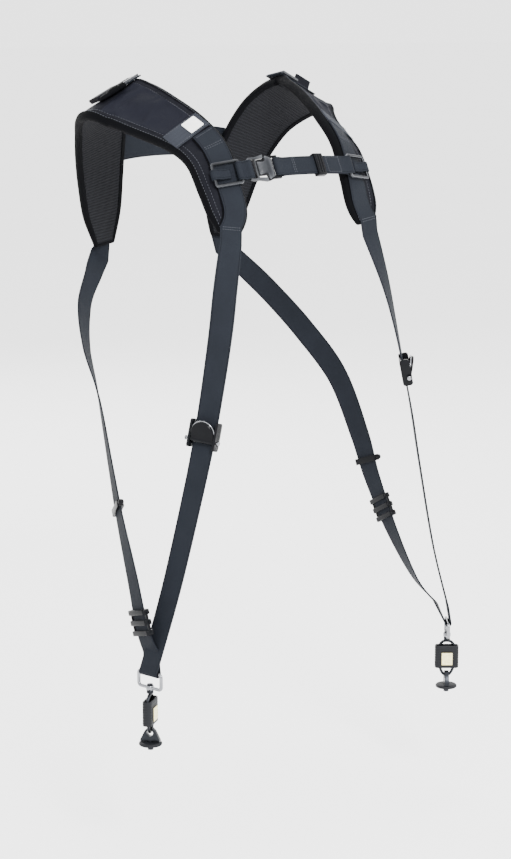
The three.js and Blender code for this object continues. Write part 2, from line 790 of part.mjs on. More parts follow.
function buildHook(group, tag) {
  const bossHalf = ringWire + 0.4;
  const headTop = bossHalf + swivelClearance + 1.6;
  const collarTop = -bossHalf - swivelClearance;
  const collarEnd = collarTop - collarHeight;
  const profile = [
    [0, headTop], [swivelRadius + 1.2, headTop], [swivelRadius + 1.2, bossHalf + swivelClearance],
    [swivelRadius, bossHalf + swivelClearance], [swivelRadius, collarTop], [swivelBoss - 0.6, collarTop],
    [swivelBoss - 0.6, collarEnd + 1], [swivelRadius + 0.4, collarEnd], [0, collarEnd],
  ];
  const stem = turned(profile, 12);
  const top = collarEnd - hookWire + 1;
  const wire = wireLoop(hookPath(top), hookWire, 6);
  addNode(`hook_${tag}`, joined(stem, wire), material.dark(), group);

  const coverTop = top - coverDrop;
  const outline = roundedRectangle(coverWidth, coverDepth, 4);
  const cavity = roundedRectangle(coverWidth - 2 * coverWall, coverDepth - 2 * coverWall, 2);
  outline.holes.push(movedPath(cavity, 0, 0, 3));
  const cover = extruded(outline, coverHeight, 3).translate(0, 0, coverTop - coverHeight);
  addNode(`hook_cover_${tag}`, cover, material.rubber(), group);

  const labelZ = coverTop - coverHeight / 2 - 2;
  const labelY = coverDepth / 2 + 0.3 + labelThickness / 2;
  for (const [face, y] of [['front', -labelY], ['rear', labelY]]) {
    const label = block(labelWidth, labelThickness, labelHeight, [0, y, labelZ]);
    addNode(`label_${face}_${tag}`, label, material.label(), group);
  }

  const seatZ = top - hookLength + hookWire + eyeClearance - loopHole;
  const foot = seatZ - loopHole - 5.6;
  const head = foot + loopHeight;
  const face = new THREE.Shape();
  face.moveTo(-loopBase / 2, foot);
  face.lineTo(loopBase / 2, foot);
  face.lineTo(loopBase / 2, foot + 1.6);
  face.lineTo(loopTop / 2 + 1.4, head - 3.4);
  face.absarc(0, head - loopTop / 2 - 0.6, loopTop / 2 + 0.6, 0.5, Math.PI - 0.5);
  face.lineTo(-loopTop / 2 - 1.4, head - 3.4);
  face.lineTo(-loopBase / 2, foot + 1.6);
  const eye = new THREE.Path();
  eye.absarc(0, seatZ, loopHole, 0, 2 * Math.PI);
  face.holes.push(eye);
  const loopPlate = extruded(face, loopThickness, 10);
  loopPlate.translate(0, 0, -loopThickness / 2).rotateX(Math.PI / 2).rotateZ(Math.PI / 2);
  const studTop = foot + 0.5;
  const studFoot = foot - discThickness - studLength;
  const stud = rod(studRadius, studTop - studFoot, 'z', [0, 0, (studTop + studFoot) / 2], 12);
  addNode(`fastener_loop_${tag}`, joined(loopPlate, stud), material.dark(), group);

  const discBore = studRadius + 0.3;
  const discTop = foot - layerGap;
  const discFoot = foot - discThickness;
  const discProfile = [
    [discBore, discTop], [discRadius - 1, discTop], [discRadius, discTop - 1],
    [discRadius, discFoot], [discBore, discFoot], [discBore, discTop],
  ];
  addNode(`fastener_disc_${tag}`, turned(discProfile, 20), material.rubber(), group);
}

function buildHanger(side, tag) {
  const { hookTurn } = hang[side];
  const ring = ringFrame(side);
  const hanger = new THREE.Group();
  const across = ring.across.clone();
  const inward = vector(0, 0, 1).cross(across);
  hanger.matrix.makeBasis(across, inward, vector(0, 0, 1)).setPosition(ring.centre);
  hanger.matrix.decompose(hanger.position, hanger.quaternion, hanger.scale);
  harness.add(hanger);
  buildRing(hanger, tag);
  const swivel = new THREE.Group();
  swivel.position.copy(ring.centre).add(vector(0, 0, -ringDrop));
  swivel.rotation.set(0, 0, degrees(hookTurn));
  harness.add(swivel);
  buildHook(swivel, tag);
}

// Sternum strap between the pads

const barRound = Math.hypot(frameBar, frameThickness) / 2;
const beltTurn = barRound + barGap + sternumThickness / 2;
const buckleRound = Math.hypot(buckleBar, frameThickness) / 2 + 0.4;
const buckleTurn = buckleRound + barGap + sternumThickness / 2;
const foldTurn = sternumThickness / 2 + foldGap / 2;

function sternumSeat(sign) {
  const u = stationAtDrop(padStations, frameDrop, 0, padRow('crest'));
  const sewn = sewnFrame(u, sign, webbingThickness / 2);
  const lift = webbingThickness / 2 + layerGap + sternumThickness / 2 + beltTurn;
  const along = sewn.frame.along.clone().setX(0).normalize();
  const normal = sewn.normal.clone().addScaledVector(along, -sewn.normal.dot(along)).normalize();
  const across = along.clone().cross(normal).multiplyScalar(sign);
  return { point: sewn.centre.clone().addScaledVector(sewn.normal, lift), along, across, normal };
}

function buildFrame(sign, tag) {
  const { group } = seat(sternumSeat(sign), sign);
  const outline = roundedRectangle(frameWidth, frameHeight, 3);
  const hole = roundedRectangle(frameWidth - 2 * frameBar, frameHeight - 2 * frameBar, 1.2);
  outline.holes.push(movedPath(hole, 0, 0, 2));
  addNode(`sternum_frame_${tag}`, plate(outline, frameThickness, 0.6, 2), material.plastic(), group);
  addNode(`frame_keeper_${tag}`, keeper(sign), material.webbing());
}

// A short doubled tab of webbing, sewn on the pad, that holds the frame's outer bar
function keeper(sign) {
  const place = sternumSeat(sign);
  const bar = (frameWidth - frameBar) / 2;
  const sink = beltTurn - sternumThickness - foldGap / 2;
  const centreAt = (t) => place.point.clone()
    .addScaledVector(place.across, bar - t * keeperLength)
    .addScaledVector(place.normal, -sink * Math.min(t * 1.6, 1) ** 2);
  return belt(pathFrames(centreAt, place.along), keeperLength, [beltTurn, foldTurn], keeperWidth);
}

// The middle of a frame's bar that faces the breastbone
function frameBarCentre(sign) {
  const place = sternumSeat(sign);
  return place.point.clone().addScaledVector(place.across, -(frameWidth - frameBar) / 2);
}

const sternumEnds = [frameBarCentre(-1), frameBarCentre(1)];
const sternumUp = sternumSeat(1).along.clone().setX(0).normalize();
const sternumArch = 7;

// Frames along a curved line that stays at right angles to one fixed direction
function pathFrames(centreAt, up) {
  const step = 0.01;
  return (t) => {
    const after = centreAt(Math.min(t + step, 1));
    const along = after.sub(centreAt(Math.max(t - step, 0))).normalize();
    return { centre: centreAt(t), along, inward: up.clone().cross(along).normalize(), up };
  };
}

// The sternum strap's line at share t: x along it to the wearer's left, z its width
function sternumFrame(t) {
  const [a, b] = sternumEnds;
  const forward = vector(1, 0, 0).cross(sternumUp).normalize();
  const archAt = (s) => a.clone().lerp(b, s).addScaledVector(forward, sternumArch * 4 * s * (1 - s));
  return pathFrames(archAt, sternumUp)(t);
}

function sternumGroup(t) {
  const { centre, along, inward } = sternumFrame(t);
  const group = new THREE.Group();
  group.matrix.makeBasis(along, inward, sternumUp).setPosition(centre);
  group.matrix.decompose(group.position, group.quaternion, group.scale);
  harness.add(group);
  return group;
}

const sternumLength = sternumEnds[0].distanceTo(sternumEnds[1]);

// A belt of webbing round two bars, its two layers drawn together between them.
// ends holds the radius of the webbing's middle as it turns at the start and at the end.
function belt(frameAt, length, ends, width) {
  const pinch = Math.min(pinchLength / length, 0.5);
  const spread = (t) => {
    const near = Math.min(t, 1 - t) / pinch;
    const s = Math.min(near, 1);
    const turn = t < 0.5 ? ends[0] : ends[1];
    return foldTurn + (turn - foldTurn) * (1 - s * s * (3 - 2 * s));
  };
  const count = Math.max(2, Math.round(length / 12));
  const marks = [0, pinch * 0.35, pinch * 0.7, 1 - pinch * 0.7, 1 - pinch * 0.35, 1];
  for (let i = 0; i <= count; i += 1) marks.push(pinch + (1 - 2 * pinch) * i / count);
  const stops = [...new Set(marks.map((t) => Number(t.toFixed(4))))].sort((p, q) => p - q);
  const layer = (t, side) => {
    const { centre, inward, up } = frameAt(t);
    const normal = inward.clone().multiplyScalar(side);
    return { centre: centre.clone().addScaledVector(normal, spread(t)), across: up, normal };
  };
  const roundEnd = (t, side, turn) => [1, 2, 3].map((k) => {
    const { centre, along, inward, up } = frameAt(t);
    const angle = Math.PI * k / 4;
    const normal = inward.clone().multiplyScalar(Math.cos(angle) * side)
      .addScaledVector(along, Math.sin(angle) * side);
    return { centre: centre.clone().addScaledVector(normal, turn), across: up, normal };
  });
  const frames = [
    ...stops.map((t) => layer(t, 1)),
    ...roundEnd(1, 1, ends[1]),
    ...stops.slice().reverse().map((t) => layer(t, -1)),
    ...roundEnd(0, -1, ends[0]),
  ];
  return strip(frames, width, sternumThickness, true);
}

function buildSternum() {
  buildFrame(-1, 'r');
  buildFrame(1, 'l');
  const shareOf = (length) => length / sternumLength;
  const maleSlot = shareOf(buckleStart);
  const femaleSlot = shareOf(buckleStart + buckleLength);
  const stretch = (from, to) => (t) => sternumFrame(from + (to - from) * t);
  const turns = [beltTurn, buckleTurn];
  const short = belt(stretch(0, maleSlot), maleSlot * sternumLength, turns, sternumWidth);
  addNode('sternum_loop', short, material.webbing());
  const rest = (1 - femaleSlot) * sternumLength;
  const long = belt(stretch(femaleSlot, 1), rest, turns.slice().reverse(), sternumWidth);
  addNode('sternum_strap', long, material.webbing());
  buildBuckle(maleSlot, femaleSlot);
  const slideGroup = sternumGroup(slidePlace);
  const slot = 2 * sternumThickness + foldGap + 2 * barGap;
  const wall = (slideThickness - slot) / 2;
  const slide = sleeve(sternumWidth + 2 * barGap, slot, wall, slideLength);
  slide.rotateX(Math.PI / 2).rotateZ(Math.PI / 2);
  slide.rotateX(Math.PI / 2);
  addNode('sternum_slide', slide, material.plastic(), slideGroup);
}

// A side-release buckle, fastened: the pronged half and the socket half meet with a running gap
function buildBuckle(maleSlot, femaleSlot) {
  const middle = (maleSlot + femaleSlot) / 2;
  const group = sternumGroup(middle);
  const half = (femaleSlot - maleSlot) * sternumLength / 2;
  const bar = buckleBar;
  const high = buckleHeight / 2;
  const seam = -half + 9;
  const slotHeight = sternumWidth + 3 * barGap;
  const end = slotHeight / 2 + buckleRim;

  const pronged = new THREE.Shape();
  pronged.moveTo(-half - bar / 2, -end + 1.4);
  pronged.lineTo(-half + 1, -end);
  pronged.lineTo(seam - 0.5, -end);
  pronged.lineTo(seam + 9, -high - 0.6);
  pronged.lineTo(seam + 9, -high + 3.2);
  pronged.lineTo(seam - 0.5, -high + 4.2);
  pronged.lineTo(seam - 0.5, high - 4.2);
  pronged.lineTo(seam + 9, high - 3.2);
  pronged.lineTo(seam + 9, high + 0.6);
  pronged.lineTo(seam - 0.5, end);
  pronged.lineTo(-half + 1, end);
  pronged.lineTo(-half - bar / 2, end - 1.4);
  const maleHole = roundedRectangle(seam - 1.8 + half - bar / 2, slotHeight, 1.6);
  const holeMiddle = (-half + bar / 2 + seam - 1.8) / 2;
  pronged.holes.push(movedPath(maleHole, holeMiddle, 0, 2));
  addNode('buckle_pronged', plate(pronged, frameThickness, 0, 3), material.plastic(), group);

  const socket = new THREE.Shape();
  const start = seam + 0.2;
  const waist = high - 5.2;
  socket.moveTo(start, -waist + 1);
  socket.lineTo(start + 9.3, -waist + 1.2);
  socket.lineTo(start + 9.6, -high);
  socket.lineTo(start + 12, -high);
  socket.quadraticCurveTo(start + 15, -end, half - 6, -end);
  socket.lineTo(half + bar / 2, -end);
  socket.lineTo(half + bar / 2, end);
  socket.lineTo(half - 6, end);
  socket.quadraticCurveTo(start + 15, end, start + 12, high);
  socket.lineTo(start + 9.6, high);
  socket.lineTo(start + 9.3, waist - 1.2);
  socket.lineTo(start, waist - 1);
  const slot = roundedRectangle(4.6, slotHeight, 1);
  socket.holes.push(movedPath(slot, half - bar / 2 - 2.3, 0, 2));
  addNode('buckle_socket', plate(socket, frameThickness, 0, 3), material.plastic(), group);
}

// Cross band, bare patch and crest strap on each pad

function acrossPad(u, sign, from, to, steps, lift, width, thickness) {
  const frame = station(padStations, u, sign);
  const frames = [];
  for (let i = 0; i <= steps; i += 1) {
    const w = from + (to - from) * i / steps;
    const centre = offset(frame, w, lift + thickness / 2);
    frames.push({ centre, across: frame.along, normal: frame.normal });
  }
  return strip(frames, width, thickness);
}

function buildPadDetails(sign, tag) {
  const middle = station(padStations, bandStation, sign);
  const reach = middle.width / 2 * 0.84;
  const lift = middle.thick + layerGap + 0.6;
  const band = acrossPad(bandStation, sign, -reach, reach, 4, lift, bandLength, bandThickness);
  addNode(`pad_band_${tag}`, band, material.band());
  if (sign < 0) {
    const patchLift = lift + bandThickness + 0.3;
    const start = -reach + patchInset;
    const end = start + patchSide;
    const patch = acrossPad(bandStation, sign, start, end, 1, patchLift, patchSide, patchThickness);
    addNode('patch_blank', patch, material.patch());
  }
  buildCrest(sign, tag);
}

// The strap over the shoulder top, with its slide at the neck side and its loose end
function buildCrest(sign, tag) {
  const u = padRow('crest') + crestSetback;
  const crest = station(padStations, u, sign);
  const reach = crest.width / 2;
  const strapLift = crest.thick + layerGap + crestRise;
  const strapEnd = reach - crestBare;
  const strap = acrossPad(u, sign, -reach - 2, strapEnd, 3, strapLift, crestStrapWidth, webbingThickness);
  addNode(`crest_strap_${tag}`, strap, material.webbing());

  const topLift = strapLift + webbingThickness + 0.3;
  const slideStart = -reach + 1;
  const slideEnd = slideStart + crestSlideLength;
  const bar = acrossPad(u, sign, slideStart, slideEnd, 1, topLift, crestStrapWidth + 3, crestSlideThickness);
  const bars = [slideStart + crestSlideBar, slideEnd - crestSlideBar];
  const opening = acrossPad(u, sign, ...bars, 1, topLift - 2, crestStrapWidth - 6, crestSlideThickness + 4);
  addNode(`crest_slide_${tag}`, cutBy(bar, opening), material.plastic());

  const tab = sign < 0
    ? acrossPad(u, sign, slideEnd + 1, strapEnd + 1, 2, topLift, crestTabWidth, crestTabThickness)
    : standingTab(crest, slideEnd + 1, topLift);
  addNode(`crest_tab_${tag}`, tab, material.webbing());
}

// The loose end folded up from the strap, its width across the pad
function standingTab(crest, from, lift) {
  const frames = [0, 1].map((s) => ({
    centre: offset(crest, from + crestTabWidth / 2, lift + s * crestTabHeight),
    across: crest.across,
    normal: crest.along,
  }));
  return strip(frames, crestTabWidth, crestTabThickness);
}

// The strap that ties the pads together across the back, sewn on top of both
function buildBackStrap() {
  const u = padRow('blade') + 0.3;
  const frames = [];
  const lift = layerGap + webbingThickness / 2 + 0.4;
  const sewn = (sign, list) => {
    const frame = station(padStations, u, sign);
    return list.map((w) => ({
      centre: offset(frame, w * frame.width / 2, frame.thick + lift),
      across: frame.along.clone().negate(),
      normal: frame.normal,
    }));
  };
  const right = sewn(-1, [0.7, 0.2, -0.4, -1.0]);
  const left = sewn(1, [-1.0, -0.4, 0.2, 0.7]);
  const a = right.at(-1);
  const b = left[0];
  const bridge = [0.25, 0.5, 0.75].map((t) => {
    const arch = 4 * t * (1 - t) * 5;
    return {
      centre: a.centre.clone().lerp(b.centre, t).add(vector(0, 2, arch)),
      across: a.across.clone().lerp(b.across, t).normalize(),
      normal: a.normal.clone().lerp(b.normal, t).normalize(),
    };
  });
  frames.push(...right, ...bridge, ...left);
  return strip(frames, backStrapWidth, webbingThickness);
}

const sides = { right: 'r', left: 'l' };
for (const [side, tag] of Object.entries(sides)) {
  const { sign } = hang[side];
  addNode(`shoulder_pad_${tag}`, buildPad(sign), material.pad());
  buildPadDetails(sign, tag);
  addNode(`hip_loop_${tag}`, strip(hipLoopFrames(side), webbingWidth, webbingThickness), material.webbing());
  const rear = strip(rearStrapFrames(side), webbingWidth, webbingThickness);
  addNode(`rear_strap_${tag}`, rear, material.webbing());
  buildLock(side, tag);
  buildRearFittings(side, tag);
  buildHanger(side, tag);
}
addNode('back_strap', buildBackStrap(), material.webbing());
buildSternum();

export default harness;
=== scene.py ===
"""Looks of the dual shoulder harness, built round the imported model.

Lengths are in millimetres until a mesh is made, and in metres in Blender.
The wearer looks along -Y, the wearer's left is +X and +Z is up.
"""

import json
import math

import bmesh
import bpy
from mathutils import Matrix, Vector

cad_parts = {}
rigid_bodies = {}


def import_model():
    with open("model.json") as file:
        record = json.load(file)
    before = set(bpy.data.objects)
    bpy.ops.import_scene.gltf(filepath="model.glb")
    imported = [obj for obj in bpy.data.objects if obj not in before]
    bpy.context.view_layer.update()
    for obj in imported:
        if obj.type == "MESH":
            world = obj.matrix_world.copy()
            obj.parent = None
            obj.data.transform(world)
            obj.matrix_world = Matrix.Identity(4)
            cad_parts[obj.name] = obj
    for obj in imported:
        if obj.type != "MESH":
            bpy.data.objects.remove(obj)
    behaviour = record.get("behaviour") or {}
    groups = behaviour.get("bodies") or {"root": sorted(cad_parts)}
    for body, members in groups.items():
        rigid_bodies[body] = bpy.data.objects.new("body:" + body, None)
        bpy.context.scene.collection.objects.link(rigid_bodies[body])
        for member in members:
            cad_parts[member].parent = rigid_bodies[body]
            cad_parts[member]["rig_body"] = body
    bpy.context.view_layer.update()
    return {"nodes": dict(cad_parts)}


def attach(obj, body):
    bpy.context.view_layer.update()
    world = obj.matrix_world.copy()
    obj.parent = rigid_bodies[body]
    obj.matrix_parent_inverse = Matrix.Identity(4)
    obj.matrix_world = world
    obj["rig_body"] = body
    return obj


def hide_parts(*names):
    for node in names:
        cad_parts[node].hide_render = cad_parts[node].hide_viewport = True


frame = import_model()

MM = 0.001

# Camera, in the photograph's frame of 511 by 859 pixels
FRAME_HEIGHT_PX = 859
FOCAL_PX = 2206.8
SENSOR = 36.0
AZIMUTH = -36.0
ELEVATION = 10.86
DISTANCE = 2400.0
AIM = (0.0, -82.5, -351.3)

# Body sizes that the harness is fitted to
SHOULDER_HALF = 123
CHEST_REACH = 160
PAD_FRONT_DROP = 126
BACK_REACH = 92
PAD_BACK_DROP = 160
HIP_HALF = 200
BELLY_REACH = 178
RING_FORE = 0.98
SIDE_REACH = 92

# Pads and webbing
PAD_WIDTH = 78
PAD_THICKNESS = 9
LAYER_GAP = 0.5
SEWN_MARGIN = 3
WEBBING_WIDTH = 25
WEBBING_THICKNESS = 1.6
STERNUM_WIDTH = 20
STERNUM_THICKNESS = 1.3
BACK_STRAP_WIDTH = 38
BAND_LENGTH = 24
BAND_THICKNESS = 1.2
PATCH_SIDE = 17
PATCH_THICKNESS = 1
PATCH_INSET = 5
CREST_STRAP_WIDTH = 24
CREST_SETBACK = 0.35
CREST_BARE = 24
CREST_RISE = 0.4
CREST_SLIDE_LENGTH = 23
CREST_TAB_WIDTH = 23
CREST_TAB_HEIGHT = 15
CREST_TAB_THICKNESS = 3.4
FOLD_SIZES = (4.3, 4.9, 3.6)
TAB_SHIFT = 6

THREAD_SIDES = 6

# Stitches: spacing, length and radius
PAD_STITCH = (3.3, 2.3, 0.3)
STRAP_STITCH = (2.6, 1.9, 0.28)
BAND_STITCH = (2.8, 2.0, 0.26)

# Cam locks
LOCK_DROP = {"right": 326, "left": 284}
LOCK_HEIGHT = 29
CHEEK_GAP = 0.7
LEVER_HEIGHT = 20
LEVER_THICKNESS = 3.4
LEVER_LEAN = 20
KNUCKLE_RADIUS = 2.9
CHEEK_THICKNESS = 2.6
PIN_RADIUS = 1.3
PIN_CLEARANCE = 0.3

# Adjusters, and each bumper's height above its adjuster
BUMPER_RISE = {"right": 108, "left": 52}
ADJUSTER_HEIGHT = 27
ADJUSTER_BAR = 5.6
ADJUSTER_WALL = 2
ADJUSTER_GAP = 1.5
ADJUSTER_SIDE_GAP = 1.3
RAIL_DEPTH = 3
KNOB_OUT = 0.8
KNOB_PROFILE = [(0.2, -1.7), (1.2, -1.2), (1.7, 0), (1.2, 1.2), (0.2, 1.7)]

# Rings, hooks and fasteners
RING_WIRE = 1.8
RING_HEIGHT = 19.5
RING_SIDE_GAP = 1.4
SWIVEL_RADIUS = 2
SWIVEL_BOSS = 4.2
SWIVEL_CLEARANCE = 0.3
COLLAR_HEIGHT = 4
HOOK_WIRE = 1.6
HOOK_HALF = 9.6
HOOK_LENGTH = 40
HOOK_FLATNESS = 0.8
HOOK_TAPER = 0.18
COVER_WIDTH = 27
COVER_DEPTH = 10.4
COVER_HEIGHT = 26
COVER_WALL = 1.9
COVER_DROP = 5
LOOP_HOLE = 3.4
EYE_CLEARANCE = 0.9
DISC_RADIUS = 12
DISC_THICKNESS = 4
STUD_RADIUS = 3.1

# Sternum strap
FRAME_WIDTH = 31
FRAME_BAR = 2.8
FRAME_THICKNESS = 3
FRAME_DROP = 74
BAR_GAP = 0.4
BUCKLE_LENGTH = 33
BUCKLE_BAR = 2.6
BUCKLE_START = 10.5
KEEPER_LENGTH = 17
KEEPER_WIDTH = 11
FOLD_GAP = 0.4
PINCH_LENGTH = 9
SLIDE_THICKNESS = 7.4
SLIDE_PLACE = 0.68
STERNUM_ARCH = 7

SIDES = {
    "right": {
        "tag": "r", "sign": -1, "drop": 567, "adjuster": 516, "ring_turn": 77, "hook_turn": 39,
    },
    "left": {
        "tag": "l", "sign": 1, "drop": 579, "adjuster": 460, "ring_turn": 55, "hook_turn": -35,
    },
}

# Underside of each pad, from its front end over the shoulder to its rear end:
# name, out, fore, drop, width, slope, facing, thick
PAD_ROWS = [
    ("front_end", 0.724, 0.99, 1.0, 0.33, 3, 6, 0.5),
    ("lower_chest", 0.705, 0.95, 0.865, 0.55, 6, 8, 0.8),
    ("chest", 0.712, 0.872, 0.66, 0.6, 10, 12, 0.95),
    ("upper_chest", 0.722, 0.748, 0.405, 0.63, 18, 17, 1),
    ("breast", 0.765, 0.545, 0.238, 0.7, 24, 20, 1),
    ("front_slope", 0.86, 0.305, 0.11, 0.82, 26, 18, 1),
    ("front_yoke", 0.942, 0.12, 0.028, 0.94, 26, 8, 1),
    ("crest", 1.0, 0, 0, 1.0, 26, 0, 1),
    ("rear_yoke", 0.967, -0.25, 0.04, 0.98, 26, 0, 1),
    ("blade_top", 0.885, -0.5, 0.15, 0.92, 24, -2, 1),
    ("blade", 0.8, -0.72, 0.34, 0.86, 18, -5, 1),
    ("mid_back", 0.73, -0.87, 0.56, 0.78, 10, -8, 1),
    ("low_back", 0.68, -0.96, 0.79, 0.66, 5, -10, 0.85),
    ("rear_end", 0.65, -1.0, 1.0, 0.36, 2, -12, 0.5),
]

# Front leg of each hip loop: out, fore, drop, facing on the right, facing on the left
FRONT_ROWS = [
    (0.52, 0.975, 0.32, 28, 31),
    (0.568, 1.005, 0.395, 43, 44),
    (0.625, 1.022, 0.486, 54, 51),
    (0.682, 1.03, 0.574, 61, 54),
    (0.745, 1.022, 0.67, 67, 54),
    (0.868, 1.002, 0.838, 73, 54),
    (0.985, 0.996, 0.963, 77, 55),
]

# Rear leg of each hip loop, from above the ring to the pad: out, fore, drop, facing
REAR_ROWS = {
    "right": [
        (0.985, 1.87, 0.963, 80),
        (1.015, 1.8, 0.92, 90),
        (1.02, 1.63, 0.835, 98),
        (0.98, 1.24, 0.735, 107),
        (0.93, 0.9, 0.656, 112),
        (0.845, 0.37, 0.545, 118),
        (0.745, -0.25, 0.46, 132),
        (0.635, -0.67, 0.39, 148),
        (0.51, -0.9, 0.335, 160),
    ],
    "left": [
        (0.955, 1.78, 0.963, 60),
        (0.925, 1.45, 0.92, 69),
        (0.885, 1.11, 0.835, 84),
        (0.855, 0.79, 0.735, 98),
        (0.835, 0.6, 0.656, 110),
        (0.8, 0.24, 0.545, 118),
        (0.735, -0.27, 0.46, 132),
        (0.635, -0.67, 0.39, 148),
        (0.51, -0.9, 0.335, 160),
    ],
}

# Where each leg leaves its pad, from the end of what is sewn on
FRONT_EXIT = (1, -1, -12)
REAR_EXIT = (2, 0.5, -12)


# Lines that the webbing and pads follow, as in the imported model

COLUMNS = ("x", "y", "z", "width", "slope", "facing", "thick")


def row_of(x, y, z, width=0, slope=0, facing=0, thick=0):
    return dict(zip(COLUMNS, (x, y, z, width, slope, facing, thick)))


def blend_rows(rows, u):
    i = min(max(math.floor(u), 0), len(rows) - 2)
    t = u - i

    def pick(k):
        return rows[min(max(k, 0), len(rows) - 1)]

    result = {}
    for key in COLUMNS:
        a, b, c, d = (pick(i + k)[key] for k in (-1, 0, 1, 2))
        slope_in = (c - a) / 2
        slope_out = (d - b) / 2
        rise = c - b
        bend = 3 * rise - 2 * slope_in - slope_out
        turn = slope_in + slope_out - 2 * rise
        result[key] = b + t * (slope_in + t * (bend + t * turn))
    return result


class Station:
    """A place on a line: its point and directions, and the pad's width and thickness there."""

    def __init__(self, rows, u, sign):
        step = 0.01
        row = blend_rows(rows, u)
        before = blend_rows(rows, max(u - step, 0))
        after = blend_rows(rows, min(u + step, len(rows) - 1))
        along = Vector([after[k] - before[k] for k in "xyz"]).normalized()
        facing = math.radians(row["facing"])
        slope = math.radians(row["slope"])
        level = math.cos(slope)
        guide = Vector((math.cos(facing) * level, math.sin(facing) * level, -math.sin(slope)))
        normal = guide.cross(along).normalized()
        across = along.cross(normal)
        mirror = Vector((sign, 1, 1))
        self.point = Vector((row["x"], row["y"], row["z"])) * mirror
        self.along = along * mirror
        self.across = across * mirror
        self.normal = normal * mirror
        self.width = row["width"]
        self.thick = row["thick"]

    def offset(self, across, normal, along=0):
        return self.point + self.across * across + self.normal * normal + self.along * along


def pad_line():
    rows = []
    for _, out, fore, drop, width, slope, facing, thick in PAD_ROWS:
        front = fore > 0
        rows.append(row_of(
            out * SHOULDER_HALF,
            -fore * (CHEST_REACH if front else BACK_REACH),
            -drop * (PAD_FRONT_DROP if front else PAD_BACK_DROP),
            width * PAD_WIDTH,
            slope,
            facing,
            thick * PAD_THICKNESS,
        ))
    return rows


PAD_STATIONS = pad_line()
PAD_LAST = len(PAD_STATIONS) - 1


def pad_row(name):
    return [row[0] for row in PAD_ROWS].index(name)


def station_at_drop(rows, drop, low=0, high=None):
    high = len(rows) - 1 if high is None else high
    falling = blend_rows(rows, high)["z"] < blend_rows(rows, low)["z"]
    for _ in range(40):
        middle = (low + high) / 2
        below = blend_rows(rows, middle)["z"] < -drop
        if below == falling:
            high = middle
        else:
            low = middle
    return (low + high) / 2


def station_span(u, length):
    """How many stations a length along the pad takes near station u."""
    step = 0.05
    a = Station(PAD_STATIONS, u - step, 1).point
    b = Station(PAD_STATIONS, u + step, 1).point
    return length * 2 * step / (a - b).length


class Place:
    """A ring's centre with the strip's two directions."""

    def __init__(self, centre, across, normal):
        self.centre, self.across, self.normal = centre, across, normal


def sewn(u, sign, layer):
    """What is sewn on a pad: over its top face, set in from the inner edge."""
    at = Station(PAD_STATIONS, u, sign)
    inset = max(at.width / 2 - SEWN_MARGIN - WEBBING_WIDTH / 2, 0)
    return Place(at.offset(-inset, at.thick + LAYER_GAP + layer), at.across, at.normal), at


BAND_STATION = pad_row("breast") - 0.12
BAND_HALF = station_span(BAND_STATION, BAND_LENGTH / 2)
CREST_STATION = pad_row("crest") + CREST_SETBACK
BACK_STATION = pad_row("blade") + 0.3


def front_line(side):
    drop = SIDES[side]["drop"]
    rows = []
    for out, fore, down, right, left in FRONT_ROWS:
        facing = right if side == "right" else left
        rows.append(row_of(out * HIP_HALF, -fore * BELLY_REACH, -down * drop, facing=facing))
    rows.reverse()
    end = sewn(0, 1, WEBBING_THICKNESS / 2)[0].centre
    first = PAD_STATIONS[0]
    place = (a + b for a, b in zip(end, FRONT_EXIT))
    rows.append(row_of(*place, first["width"], 2, 9, first["thick"]))
    return rows


def rear_line(side):
    drop = SIDES[side]["drop"]
    rows = []
    for out, fore, down, facing in REAR_ROWS[side]:
        rows.append(row_of(out * HIP_HALF, -fore * SIDE_REACH, -down * drop, facing=facing - 180))
    end = sewn(PAD_LAST, 1, WEBBING_THICKNESS / 2)[0].centre
    place = (a + b for a, b in zip(end, REAR_EXIT))
    rows.append(row_of(*place, slope=2, facing=-14))
    return rows


def ring_centre(side):
    return Vector((SIDES[side]["sign"] * HIP_HALF, -BELLY_REACH * RING_FORE, -SIDES[side]["drop"]))


def ring_directions(side):
    sign = SIDES[side]["sign"]
    turn = math.radians(SIDES[side]["ring_turn"])
    across = Vector((sign * math.cos(turn), math.sin(turn), 0))
    normal = Vector((sign * math.sin(turn), -math.cos(turn), 0))
    return across, normal


def leg_places(rows, sign, start, end, steps, across_sign=1, normal_sign=1):
    places = []
    for i in range(steps + 1):
        at = Station(rows, start + (end - start) * i / steps, sign)
        places.append(Place(at.point, at.across * across_sign, at.normal * normal_sign))
    return places


LEG_STEPS = 14
LOOP_SEWN_STEPS = 50
REAR_SEWN = 1.6
WRAP_RADIUS = RING_WIRE + LAYER_GAP + WEBBING_THICKNESS / 2


def hip_loop_places(side):
    sign = SIDES[side]["sign"]
    top = BAND_STATION - BAND_HALF - 0.03
    places = []
    for i in range(LOOP_SEWN_STEPS + 1):
        places.append(sewn(top * (1 - i / LOOP_SEWN_STEPS), sign, WEBBING_THICKNESS / 2)[0])
    front = front_line(side)
    places += leg_places(front, sign, len(front) - 1, 0, (len(front) - 1) * LEG_STEPS)
    centre = ring_centre(side)
    across, outward = ring_directions(side)
    for i in range(17):
        angle = math.pi * i / 16
        normal = outward * math.cos(angle) + Vector((0, 0, -math.sin(angle)))
        places.append(Place(centre + normal * WRAP_RADIUS, across, normal))
    rear = rear_line(side)
    split = station_at_drop(rear, SIDES[side]["adjuster"])
    places += leg_places(rear, sign, 0, split - 0.02, round(split * LEG_STEPS) + 4, across_sign=-1)
    return places


def rear_strap_places(side):
    sign = SIDES[side]["sign"]
    rear = rear_line(side)
    start = station_at_drop(rear, SIDES[side]["adjuster"]) + 0.02
    last = len(rear) - 1
    places = leg_places(rear, sign, start, last, round((last - start) * LEG_STEPS), normal_sign=-1)
    for i in range(25):
        places.append(sewn(PAD_LAST - REAR_SEWN * i / 24, sign, WEBBING_THICKNESS / 2)[0])
    return places


